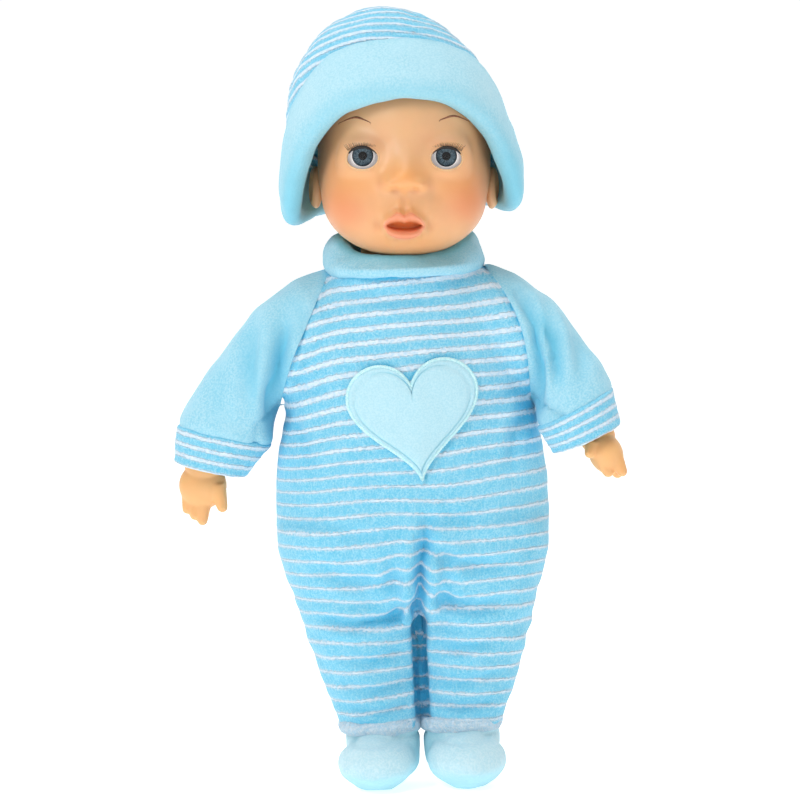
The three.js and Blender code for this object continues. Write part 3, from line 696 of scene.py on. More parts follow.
def clothMaterial(name, colour, pile=1.0, loops=1300, ribs=0.0, cloudy=0.5, grain=0.2):
    made = Shader(name, colour, 0.86, Sheen_Weight=0.35, Sheen_Roughness=0.45, Specular_IOR_Level=0.15)
    made.surface.inputs["Sheen Tint"].default_value = (0.85, 0.95, 1, 1)
    deep = tuple(c * c**grain for c in colour)
    pale = tuple(c + (1 - c) * 0.55 * grain for c in colour)
    tuft = made.noise(loops, 3, 0.6)
    base = made.mix(made.ramp(tuft, 0.34, 0.66), deep, pale)
    cloud = made.ramp(made.noise(70, 3, 0.55), 0.36, 0.66, 0, cloudy)
    base = made.mix(cloud, base, made.mix(0.5, base, pale))
    if ribs:
        column = made.noise(1, 1, 0.4, made.scaled((1050, 1050, 260)))
        base = made.mix(made.ramp(column, 0.5, 0.36, 0, 0.45 * ribs), base, deep)
        made.bump(column, 0.0003 * ribs, 0.8)
    made.bump(tuft, 0.00028 * pile, 0.9)
    made.bump(made.noise(340, 2), 0.0003 * pile, 0.6)
    # painted shade: where ambient occlusion finds a hollow, and where the painted shade mask says so, the
    # colour is darkened towards a deeper blue
    creaseOcclusion = made.node("ShaderNodeAmbientOcclusion", samples=6)
    creaseOcclusion.inputs["Distance"].default_value = 0.014
    shadeColour = tuple(c ** (2.1 - 0.9 * c) for c in colour)
    creaseShade = made.sum("MAXIMUM", made.ramp(creaseOcclusion.outputs["AO"], 0.9, 0.35, 0, 0.85), made.mask("paintedShade"))
    base = made.mix(creaseShade, base, shadeColour)
    made.base = base
    made.colour(base)
    return made


def stripedMaterial(name, ribs=1.0, plump=1.0):  # the stripe attribute runs 0..1 through each stripe and gap
    made = clothMaterial(name, cloth["striped"], 0.8, 1500, ribs, 0.35, grain=0.3)
    wander = made.ramp(made.noise(900, 2), 0.3, 0.7, -0.05, 0.05)
    place = made.sum("ADD", made.mask("stripe"), wander)
    wave = made.sum("ABSOLUTE", made.sum("SUBTRACT", made.sum("FRACT", place), 0.5))
    width = made.mask("stripeWidth")
    edge = made.sum("SUBTRACT", wave, width)
    white = made.ramp(edge, 0.045, -0.045)
    tuft = made.noise(800, 3, 0.65)
    fluff = made.mix(made.ramp(tuft, 0.3, 0.62), (0.52, 0.74, 0.90), cloth["stripe"])
    halo = made.ramp(edge, 0.18, 0.0, 0, 0.35)
    base = made.mix(halo, made.base, fluff)
    made.colour(made.mix(white, base, fluff))
    made.bump(made.sum("MULTIPLY", white, made.ramp(tuft, 0.2, 0.8, 0.6, 1.0)), 0.0007 * plump, 0.9)
    return made.material


def stripesOn(obj, along, width, pitch=None):
    stripe = obj.data.attributes.new("stripe", "FLOAT", "POINT")
    stripe.data.foreach_set("value", (along / (pitch or cloth["pitch"]) + 50).astype(np.float32))
    thick = obj.data.attributes.new("stripeWidth", "FLOAT", "POINT")
    thick.data.foreach_set("value", (np.zeros(len(along)) + width).astype(np.float32))


# ---------- fabric shapes ----------
def tube(rings, around=56):  # each ring is a centre, two half-axis vectors; both ends closed
    bm = bmesh.new()
    loops = []
    for at, a, b in rings:
        at, a, b = Vector(at), Vector(a), Vector(b)
        loops.append([bm.verts.new(at + a * cos(2 * pi * i / around) + b * sin(2 * pi * i / around))
                      for i in range(around)])
    bridge(bm, loops)
    bm.faces.new(reversed(loops[0]))
    bm.faces.new(loops[-1])
    return bm


def upright(sections, x=0):  # height, half width, half depth, middle x, middle y
    return [((x + (s + (0, 0))[3], (s + (0, 0, 0))[4], s[0]), (s[1], 0, 0), (0, s[2], 0)) for s in sections]


def fuse(name, parts, voxel, smoothing, *materials):
    obj = makeObject(gather(*parts), name, *materials)
    remesh = obj.modifiers.new("remesh", "REMESH")
    remesh.mode = "VOXEL"
    remesh.voxel_size = voxel / 1000
    remesh.use_smooth_shade = True
    smooth = obj.modifiers.new("smooth", "SMOOTH")
    smooth.factor = 0.5
    smooth.iterations = smoothing
    applyModifiers(obj)
    return obj


class ClothForm:  # the points of an object in millimetres
    def __init__(self, obj):
        self.obj = obj
        self.p = pointsOf(obj)
        self.paintedShade = np.zeros(len(self.p))
        self.refresh()

    def refresh(self):
        world = self.p / 1000 + np.array([dollAxis.x, dollAxis.y, 0])
        self.obj.data.vertices.foreach_set("co", world.ravel())
        self.obj.data.update()
        normal = np.empty(len(self.p) * 3)
        self.obj.data.vertex_normals.foreach_get("vector", normal)
        self.n = normal.reshape(-1, 3)

    def out(self, amount):
        self.p += self.n * amount[:, None]

    def crease(self, path, depth, width, swell=0.6, facing=-1):
        # a furrow along a path drawn on the front (facing -1) or back, with a soft roll at either side
        path = np.array(path, float)
        flat = self.p[:, [0, 2]]
        best = np.full(len(flat), 1e9)
        along = np.zeros(len(flat))
        for i, (a, b) in enumerate(zip(path, path[1:])):
            ab = b - a
            t = np.clip(((flat - a) @ ab) / (ab @ ab), 0, 1)
            gap = np.linalg.norm(flat - a - t[:, None] * ab, axis=1)
            nearer = gap < best
            best = np.where(nearer, gap, best)
            along = np.where(nearer, (i + t) / (len(path) - 1), along)
        fade = np.sin(np.clip(along, 0.02, 0.98) * pi) ** 0.5 * ease(self.n[:, 1] * facing * 1.6 + 0.3)
        furrow = -depth * np.exp(-((best / width) ** 2))
        roll = swell * depth * np.exp(-(((best - 2.1 * width) / width) ** 2))
        self.out((furrow + roll) * fade)
        # the painted shade that goes with each furrow
        self.paintedShade = np.maximum(self.paintedShade, np.exp(-((best / width / 1.2) ** 2)) * fade * min(1, depth / 4))

    def soften(self, times):
        edges = np.empty(len(self.obj.data.edges) * 2, int)
        self.obj.data.edges.foreach_get("vertices", edges)
        a, b = edges.reshape(-1, 2).T
        count = np.bincount(np.concatenate([a, b]), minlength=len(self.p))[:, None]
        for _ in range(times):
            total = np.zeros_like(self.p)
            np.add.at(total, a, self.p[b])
            np.add.at(total, b, self.p[a])
            self.p = self.p * 0.5 + total / count * 0.5
        self.refresh()

    def uneven(self, amount, size, seed=0.0):
        shift = Vector((seed, 3.7 * seed, 9.1))
        self.out(np.array([noise.noise(Vector(q) / size + shift) for q in self.p]) * amount)


def cutAlong(obj, reach, keepInside):  # cuts by the curved seam x = reach(z); reach is signed
    bm = bmesh.new()
    bm.from_mesh(obj.data)
    bm.transform(toFrame.inverted())
    side = 1 if reach(180) > 0 else -1
    for v in bm.verts:
        v.co.x -= reach(v.co.z)
    cut = bmesh.ops.bisect_plane(bm, geom=bm.verts[:] + bm.edges[:] + bm.faces[:], dist=1e-6,
                                 plane_co=(0, 0, 0), plane_no=(side, 0, 0), clear_outer=keepInside,
                                 clear_inner=not keepInside)
    rim = [e for e in cut["geom_cut"] if isinstance(e, bmesh.types.BMEdge)]
    caps = bmesh.ops.edgeloop_fill(bm, edges=rim)["faces"]
    bmesh.ops.triangulate(bm, faces=caps)
    for v in bm.verts:
        v.co.x += reach(v.co.z)
    bm.transform(toFrame)
    bm.to_mesh(obj.data)
    bm.free()


seam = {  # how far out the raglan seam runs at each height
    "right": ((128, 62), (146, 58), (151, 50.2), (160, 47.6), (171, 43.9), (182, 38.7), (192, 34),
              (202, 29.3), (225, 20)),
    "left": ((128, 62), (146, 58), (151, 47.8), (160, 46.9), (171.5, 46.2), (184.5, 43), (195, 37.4),
             (203, 31.5), (225, 20)),
}


def seamReach(name, z):
    heights, reaches = zip(*seam[name])
    return np.interp(z, heights, reaches)


# ---------- romper ----------
romper = {
    "torso": ((66, 38, 12), (72, 45.5, 20), (80, 50, 26), (92, 52.4, 30.5), (106, 53.2, 32.3),
              (120, 53, 32.8), (135, 51, 32.5), (146, 49, 31.8), (154, 49, 31.2), (165, 48.5, 30),
              (176, 47, 28.6), (185, 43.5, 27.6), (193, 38, 26.6), (201, 31, 25.8), (206, 27.5, 25)),
    "leg": ((23, 15.4, 14.4, 15.9), (26, 16, 14.8, 16.2), (34, 17.2, 15.4, 17.9), (44, 19, 16.2, 19.7),
            (53, 20.4, 17.2, 21.2), (62, 22, 18.6, 22.8), (72, 23.5, 20.5, 24.3), (82, 25, 23, 25.4),
            (94, 26.5, 26.5, 26), (104, 27, 28, 26)),
    "voxel": 1.3,
}


def legRings(side):
    return upright([(z, w, d, side * x + 1.4 * (1 - z / 90), -1.0) for z, w, d, x in romper["leg"]])


def stripeHeight(p):
    x, z = p[:, 0], p[:, 2]
    chest = ease((z - 95) / 60)
    height = z - 0.085 * x * chest
    height += 5.0 * ease((-x - 22) / 34) * chest  # they turn down towards the doll's right arm
    height -= 3.2 * np.exp(-((x / 13) ** 2)) * ease((118 - z) / 35) * ease((z - 60) / 12)
    height += 0.05 * (np.abs(x) - 20) * ease((70 - z) / 20)
    height += np.array([noise.noise(Vector(q) / 38) for q in p]) * 2.2
    return height


def sculptRomper(form):
    form.uneven(1.1, 24, 1)
    form.uneven(0.5, 9, 2)
    legs = ease((100 - form.p[:, 2]) / 40)
    form.out(legs * 0.9 * np.array([noise.noise(Vector((q[0] / 14, q[1] / 14, q[2] / 6))) for q in form.p]))
    form.refresh()
    # the fold that runs up from between the legs, with the gathers that fan out from it
    form.crease([(0.5, 60), (1.2, 76), (2.6, 90), (5.5, 108)], 5.2, 2.6, 0.45)
    form.refresh()
    for facing in (-1, 1):
        form.crease([(1.2, 20), (0.8, 34), (0.6, 52), (0.6, 74)], 5.5, 2.0, 0.15, facing)
        form.refresh()
    for path, depth, width in (
            ([(3, 98), (12, 92), (24, 88), (36, 88)], 1.7, 2.6),
            ([(1, 86), (-12, 82), (-26, 84), (-38, 90)], 1.5, 2.8),
            ([(3, 80), (12, 74), (24, 71), (34, 73)], 2.0, 2.6),
            ([(0, 74), (-10, 68), (-24, 66), (-38, 69)], 2.6, 2.2),
            ([(5, 106), (14, 108), (26, 106)], 1.2, 2.4), ([(-4, 104), (-16, 101), (-30, 103)], 1.0, 2.8),
            ([(-8, 95), (-9, 82), (-7, 70)], 1.3, 2.8), ([(11, 98), (12, 84), (10, 70)], 1.2, 2.8),
            ([(4, 58), (16, 55), (30, 57)], 1.5, 2.0), ([(-4, 55), (-18, 51), (-32, 54)], 1.4, 2.0),
            ([(4, 44), (17, 41), (32, 45)], 1.3, 1.8), ([(-4, 42), (-17, 39), (-32, 43)], 1.4, 1.8),
            ([(3, 34), (16, 31), (30, 33)], 1.5, 1.5), ([(-3, 33), (-16, 30), (-30, 33)], 1.5, 1.5),
            ([(-48, 150), (-42, 140), (-38, 126)], 1.5, 2.4),
            ([(-49, 147), (-46, 134), (-45, 120)], 1.0, 2.0),
            ([(47, 150), (41, 139), (38, 124)], 1.4, 2.4), ([(46, 158), (36, 152), (28, 150)], 0.8, 2.4),
            ([(-46, 164), (-36, 158), (-28, 157)], 0.8, 2.4),
            ([(-28, 199), (-12, 193), (8, 193), (24, 199)], 0.7, 3)):
        form.crease(path, depth, width)
        form.refresh()
    for path, depth, width in (
            ([(0, 60), (0, 80), (0, 104)], 4.2, 2.8), ([(-3, 84), (-20, 78), (-38, 82)], 1.6, 2.8),
            ([(3, 84), (20, 78), (38, 82)], 1.6, 2.8), ([(-4, 62), (-20, 58), (-34, 62)], 1.3, 2.4),
            ([(4, 62), (20, 58), (34, 62)], 1.3, 2.4), ([(-4, 40), (-18, 37), (-32, 41)], 1.3, 1.8),
            ([(4, 40), (18, 37), (32, 41)], 1.3, 1.8), ([(-46, 150), (-38, 138), (-34, 122)], 1.2, 2.4),
            ([(46, 150), (38, 138), (34, 122)], 1.2, 2.4)):
        form.crease(path, depth, width, facing=1)
        form.refresh()
    # painted shade in the creases
    paintMask(form.obj, "paintedShade", 0.75 * form.paintedShade)
    for s in (1, -1):  # side seams down the outside of the body and legs
        line = np.abs(form.p[:, 1] - 1.5) / 1.1
        outside = ease(form.n[:, 0] * s * 3 - 0.6) * ease((150 - form.p[:, 2]) / 6)
        form.out(-0.9 * np.exp(-(line**2)) * outside)
    for name, s in sides.items():  # the raglan seam pulls the cloth in
        gap = (form.p[:, 0] * s - seamReach(name, form.p[:, 2])) / 1.5
        form.out(-1.3 * np.exp(-(gap**2)) * ease((form.p[:, 2] - 147) / 5))
    form.refresh()


def caseRoom():  # the opening in the back, where the sound case lies
    bm = bmesh.new()
    bmesh.ops.create_cube(bm, size=1)
    bmesh.ops.scale(bm, vec=(47, 60, 44), verts=bm.verts[:])
    bmesh.ops.bevel(bm, geom=[e for e in bm.edges if abs(e.verts[0].co.y - e.verts[1].co.y) > 1], offset=4,
                    segments=4, profile=0.5, affect="EDGES", material=-1)
    bm.transform(Matrix.Translation((0, 30.5, 141)))
    return bm


def buildRomper(fabric):
    parts = [tube(upright(romper["torso"])), tube(legRings(1)), tube(legRings(-1))]
    parts += [tube(armRings(arm[name][:3], side)) for name, side in sides.items()]
    body = fuse("romper", parts, romper["voxel"], 6, fabric)
    form = ClothForm(body)
    height = stripeHeight(form.p)
    upper = ease((form.p[:, 2] - 118) / 40)
    stripesOn(body, height, 0.085 + 0.085 * upper)
    sculptRomper(form)
    surface = body.copy()
    surface.data = body.data.copy()
    cutAway(body, caseRoom())
    for name, side in sides.items():
        cutAlong(body, lambda z, n=name, s=side: float(seamReach(n, z)) * s, True)
    halves = []
    for name, side in sides.items():
        half = body if side < 0 else body.copy()
        if side > 0:
            half.data = body.data.copy()
            bpy.context.scene.collection.objects.link(half)
        half.name = name + "Romper"
        halves.append((name, side, half))
    for name, side, half in halves:
        bm = bmesh.new()
        bm.from_mesh(half.data)
        cut = bmesh.ops.bisect_plane(bm, geom=bm.verts[:] + bm.edges[:] + bm.faces[:], dist=1e-6,
                                     plane_co=(dollAxis.x, 0, 0), plane_no=(-side, 0, 0), clear_outer=True)
        rim = [e for e in cut["geom_cut"] if isinstance(e, bmesh.types.BMEdge)]
        caps = bmesh.ops.edgeloop_fill(bm, edges=rim)["faces"]
        caps += bmesh.ops.holes_fill(bm, edges=[e for e in bm.edges if e.is_boundary], sides=0)["faces"]
        caps = set(bmesh.ops.triangulate(bm, faces=caps, ngon_method="EAR_CLIP")["faces"])
        bmesh.ops.recalc_face_normals(bm, faces=bm.faces[:])
        for f in bm.faces:
            f.smooth = f not in caps
        bm.to_mesh(half.data)
        bm.free()
        half.data.set_sharp_from_angle(angle=radians(62))
        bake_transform(half)
        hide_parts(name + "_leg_cover", name + "_leg_stuffing")
        if side > 0:
            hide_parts("torso_stuffing", "front_panel", "back_panel")
    print("romper modelled")
    return surface


# ---------- sleeves, cuffs and hands ----------
# each pair is where the sleeve's inner and outer edges lie, seen from the front, then middle y and half depth
arm = {
    "right": (((32, 158), (27, 205), 1, 22), ((44, 152), (43, 200), 0, 21.5),
              ((50, 150.5), (57.7, 189.9), 0, 19.5),
              ((51.6, 146.5), (70.8, 174.2), -1, 18), ((53, 141.5), (82.2, 158.5), -1.5, 17),
              ((54.2, 137.2), (89.6, 148.5), -2, 16.5), ((54.8, 135), (90.6, 143.8), -2, 15.8)),
    "left": (((32, 158), (26, 206), 1, 22), ((44, 152), (43, 199), -1, 21),
             ((48.5, 150), (57.5, 188), -4, 19),
             ((49.4, 146), (66.5, 176), -9, 17.5), ((49.8, 142.5), (75.8, 164.5), -14, 16.5),
             ((49.6, 140.3), (79, 156), -17, 16), ((49.8, 139.2), (79.2, 153.6), -18.5, 15.3)),
    "rightCuff": ((64.9, 124), (92, 131), -4.5, 12.6),
    "leftCuff": ((55.5, 130.4), (81.2, 140.4), -22.5, 12.4),
}


def ringOf(pair, side, grow=0.0):
    (ix, iz), (ox, oz), y, depth = pair
    at = Vector((side * (ix + ox) / 2, y, (iz + oz) / 2))
    half = Vector((side * (ox - ix) / 2, 0, (oz - iz) / 2))
    return at, half + half.normalized() * grow, Vector((0, depth + grow, 0))


def between(a, b, t):
    return tuple(tuple(p + (q - p) * t for p, q in zip(m, n)) if isinstance(m, tuple) else m + (n - m) * t
                 for m, n in zip(a, b))


def armRings(pairs, side):
    rings = []
    for a, b in zip(pairs, pairs[1:]):
        rings += [ringOf(between(a, b, i / 4), side) for i in range(4)]
    return rings + [ringOf(pairs[-1], side)]


def buildSleeve(name, side, fabric):
    shoulder = [s for s in romper["torso"] if s[0] >= 150]
    sleeve = fuse(name + "Sleeve", [tube(armRings(arm[name], side)), tube(upright(shoulder))], 1.3, 6, fabric)
    form = ClothForm(sleeve)
    form.uneven(1.0, 22, 5 + side)
    form.uneven(0.35, 8, 9 + side)
    form.refresh()
    folds = {
        "right": (([(-46, 187), (-49.5, 172), (-52, 158), (-53, 145)], 6.2, 3.2),
                  ([(-58, 184), (-61, 168), (-60, 152)], 2.4, 3),
                  ([(-46, 196), (-40, 188), (-42, 176)], 1.2, 2.6),
                  ([(-70, 170), (-74, 156), (-72, 146)], 0.8, 3)),
        "left": (([(45, 192), (50, 180), (51.5, 166), (50, 148)], 4.4, 1.8),
                 ([(52, 186), (57.5, 174), (58, 158)], 3.8, 2.0),
                 ([(64, 178), (67, 168), (66, 156)], 1.3, 2.6),
                 ([(38, 199), (44, 192), (48, 184)], 1.1, 2.4)),
    }[name]
    for path, depth, width in folds:
        form.crease(path, depth, width)
        form.refresh()
    for path, depth, width in (([(s * side, z) for s, z in ((48, 190), (53, 174), (54, 154))], 1.8, 2.8),
                               ([(s * side, z) for s, z in ((60, 182), (64, 164), (63, 150))], 1.1, 3)):
        form.crease(path, depth, width, facing=1)
        form.refresh()
    form.soften(4)
    # painted shade in the folds
    paintMask(sleeve, "paintedShade", form.paintedShade)
    gap = (form.p[:, 0] * side - seamReach(name, form.p[:, 2])) / 1.5
    form.out(-1.2 * np.exp(-(gap**2)))
    form.refresh()

    def sleeveSeam(z):  # below the armpit the seam runs back in towards the body
        reach = seamReach(name, z) if z > 151 else min(seamReach(name, 151), 42 + (z - 140) * 0.5)
        return float(reach) * side

    cutAlong(sleeve, sleeveSeam, False)
    sleeve.data.set_sharp_from_angle(angle=radians(62))
    for f in sleeve.data.polygons:
        f.use_smooth = True
    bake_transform(sleeve)
    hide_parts(name + "_sleeve", name + "_arm_stuffing")
    return sleeve


def buildCuff(name, side, fabric):
    top, hem = arm[name][-1], arm[name + "Cuff"]
    course = [(-0.14, -1.6), (-0.1, -0.5), (-0.02, 0.15), (0.25, 0.1), (0.4, 0.35), (0.55, 0.1), (0.7, 0.3),
              (0.82, 0.2), (0.92, 0.4), (0.99, 0.2), (1.02, -0.7), (0.99, -1.7), (0.92, -2.2), (0.7, -2.4),
              (0.4, -2.6), (0.1, -2.8), (-0.06, -2.6)]
    around = 160
    bm = bmesh.new()
    loops = []
    for t, grow in course:
        at, a, b = ringOf(between(top, hem, t), side, grow)
        loops.append([bm.verts.new(at + a * cos(2 * pi * i / around) + b * sin(2 * pi * i / around))
                      for i in range(around)])
    bridge(bm, loops + loops[:1])
    bmesh.ops.recalc_face_normals(bm, faces=bm.faces[:])
    bmesh.ops.subdivide_edges(bm, edges=bm.edges[:], cuts=1, smooth=0.6, use_grid_fill=True)
    cuff = makeObject(bm, name + "Cuff", fabric)
    form = ClothForm(cuff)
    topAt, hemAt = ringOf(top, side)[0], ringOf(hem, side)[0]
    course = np.array(hemAt - topAt)
    level = ((form.p - np.array(topAt)) @ course) / (course @ course)
    tilt = Vector(ringOf(top, side)[1]).normalized()
    tiltEnd = Vector(ringOf(hem, side)[1]).normalized()
    for _ in range(2):  # level of the slanted hoop each point lies in
        mid = np.array(topAt) + level[:, None] * course
        lean = np.array(tilt) * (1 - level[:, None]) + np.array(tiltEnd) * level[:, None]
        normal = np.stack([lean[:, 2], np.zeros(len(lean)), -lean[:, 0]], 1)
        level += ((form.p - mid) * normal).sum(1) / (normal @ course)
    stripesOn(cuff, level * 13.5 + 1.45, 0.17, 4.35)
    form.uneven(0.5, 9, 3 + side)
    form.uneven(0.18, 2.5, 4 + side)
    form.refresh()
    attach(cuff, name + "_arm")
    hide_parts(name + "_cuff")
    return cuff


def finger(start, end, r0, r1):
    start, end = Vector(start), Vector(end)
    way = (end - start).normalized()
    across = way.cross(Vector((0, 1, 0))).normalized()
    other = way.cross(across)
    rings = []
    for i in range(7):
        t = i / 6
        rings.append((start.lerp(end, t), across * (r0 + (r1 - r0) * t), other * (r0 + (r1 - r0) * t)))
    for k in (0.5, 0.87, 0.985):
        r = r1 * (1 - k * k) ** 0.5
        rings.append((end + way * r1 * k, across * r, other * r))
    return tube(rings, 20)


def lump(at, radii, turn=0.0):
    bm = blockBall(9)
    bmesh.ops.scale(bm, vec=radii, verts=bm.verts[:])
    bm.transform(Matrix.Translation(at) @ Matrix.Rotation(radians(turn), 4, "Y"))
    return bm


hands = {  # lumps: middle, radii, lean; fingers: from, to, thickness at each end
    "right": (
        [((-81.6, -3, 121), (9.4, 6.0, 9.2), 0), ((-81, -4, 130), (7.6, 6.4, 8), 0)],
        [((-76, -5, 121), (-74.2, -7, 112.6), 3.7, 2.2), ((-81.6, -3, 117), (-82.2, -4.6, 107.4), 3.9, 2.1),
         ((-84.6, -2, 117), (-85.2, -4, 109.6), 3.6, 2.1),
         ((-87.4, -1.5, 118), (-88.2, -3, 111.8), 3.0, 1.9)]),
    "left": (
        [((75.2, -24, 129.6), (6.6, 7.2, 8.2), -22), ((72.2, -21, 136), (7, 6.4, 7.4), -22)],
        [((70.2, -27, 134), (68.8, -29, 130.6), 3.0, 2.2), ((73.6, -26, 128), (75.6, -27.6, 122.8), 3.7, 2.2),
         ((78.4, -26, 129), (81, -28, 122.8), 3.3, 2.1), ((77, -21.5, 128), (79.4, -23, 121.8), 3.6, 2.2)]),
}


def buildHand(name, skin, nylon):
    lumps, fingers = hands[name]
    parts = [lump(*each) for each in lumps] + [finger(*each) for each in fingers]
    hand = fuse(name + "Hand", parts, 0.55, 5, skin)
    at, lean = Vector(lumps[1][0]), lumps[1][2]
    strap = [(6.6 + 0.6 * cos(k * pi / 4), 1.2 * sin(k * pi / 4)) for k in range(8)]
    turn = Matrix.Translation(at + Vector((0, 0, 3))) @ Matrix.Rotation(radians(lean), 4, "Y")
    tie = makeObject(spun(strap, 64), name + "WristTie", nylon, turn=turn)
    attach(tie, name + "_arm")
    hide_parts(name + "_wrist_tie")
    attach(hand, name + "_arm")
    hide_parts(name + "_hand")
    return hand


# ---------- feet ----------
def buildFoot(name, side, fabric, band):
    x = side * 16.6
    splay = Matrix.Translation((x, -8, 0)) @ Matrix.Rotation(radians(side * (5 if side > 0 else 12)), 4, "Z")
    toe = lump((0, -6, 10.2), (15.4, 17.5, 11.2))
    heel = lump((0, 6, 10.4), (14.2, 15.5, 11))
    levels = ((8, 14), (16, 15), (22, 15), (25, 14))
    ankle = tube([((0, 7, z), (r, 0, 0), (0, r * 0.94, 0)) for z, r in levels])
    for part in (toe, heel, ankle):
        part.transform(splay)
    foot = fuse(name + "Foot", [toe, heel, ankle], 1.0, 8, fabric)
    form = ClothForm(foot)
    low = ease((12 - form.p[:, 2]) / 14)
    form.p[:, 0] += (x - form.p[:, 0]) * low * 0.16
    form.refresh()
    form.uneven(0.9, 13, 7 + side)
    form.uneven(0.3, 4, 8 + side)
    rise = 2.5 if side < 0 else 0.4  # the doll's right toe turns up a little more
    toeUp = ease((-form.p[:, 1] - 12) / 20) * ease((8 - form.p[:, 2]) / 8) * rise
    form.p[:, 2] = np.maximum(form.p[:, 2], 0) + toeUp
    form.p[:, 2] = np.where(form.p[:, 2] < 0.3, 0.3 * np.exp((form.p[:, 2] - 0.3) * 0.9), form.p[:, 2])
    form.refresh()
    seamLine = np.abs(form.p[:, 2] - 20.5 - 0.05 * form.p[:, 1])
    form.out(-0.9 * np.exp(-((seamLine / 0.9) ** 2)))
    form.refresh()
    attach(foot, name + "_leg")
    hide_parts(name + "_foot")
    rings = []
    for z, grow in ((20.8, -1.4), (21.2, -0.3), (22.4, 0.6), (24, 0.9), (25.6, 0.7), (26.6, -0.2),
                    (26.8, -1.6)):
        rings.append(((side * 15.9, -1.0, z), (15.7 + grow, 0, 0), (0, 14.7 + grow, 0)))
    bm = tube(rings, 128)
    bmesh.ops.delete(bm, geom=[f for f in bm.faces if len(f.verts) > 4], context="FACES_ONLY")
    bmesh.ops.solidify(bm, geom=bm.faces[:], thickness=1.6)
    bmesh.ops.subdivide_edges(bm, edges=bm.edges[:], cuts=1, use_grid_fill=True)
    hem = makeObject(bm, name + "AnkleBand", band)
    form = ClothForm(hem)
    stripesOn(hem, form.p[:, 2] * 0, 0.5)
    form.uneven(0.6, 6, 11 + side)
    form.uneven(0.25, 1.6, 12 + side)
    form.refresh()
    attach(hem, name + "_leg")
    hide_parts(name + "_ankle_band")
    return foot


# ---------- collar ----------
def buildCollar(fabric):
    outline = rounded([(21.5, 203), (26, 200.8), (30, 201.2), (31.4, 204), (31.3, 208), (30.0, 212.8),
                       (27.2, 216.2), (23.6, 216.4), (20.8, 213.4), (20.2, 208)], 5)
    collar = makeObject(spun(outline, 144), "neckCollar", fabric)
    form = ClothForm(collar)
    front = ease((4 - form.p[:, 1]) / 32)
    form.p[:, 2] -= front * ease((form.p[:, 2] - 201) / 15) * 8
    form.refresh()
    form.uneven(0.8, 9, 14)
    form.uneven(0.25, 3, 15)
    form.refresh()
    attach(collar, "torso")
    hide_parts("collar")


# ---------- hat ----------
hat = {
    "turn": Matrix.Translation((0, 0, 245.5)) @ Matrix.Rotation(radians(-30), 4, "X"),
    "inside": (40.6, 43.6),
    "dome": (42.4, 45.4, 60.5),
    "low": 0.5, "high": 27, "droop": 24, "droopAbove": 16, "lean": -2.2, "shift": -4, "full": 0.03,
}


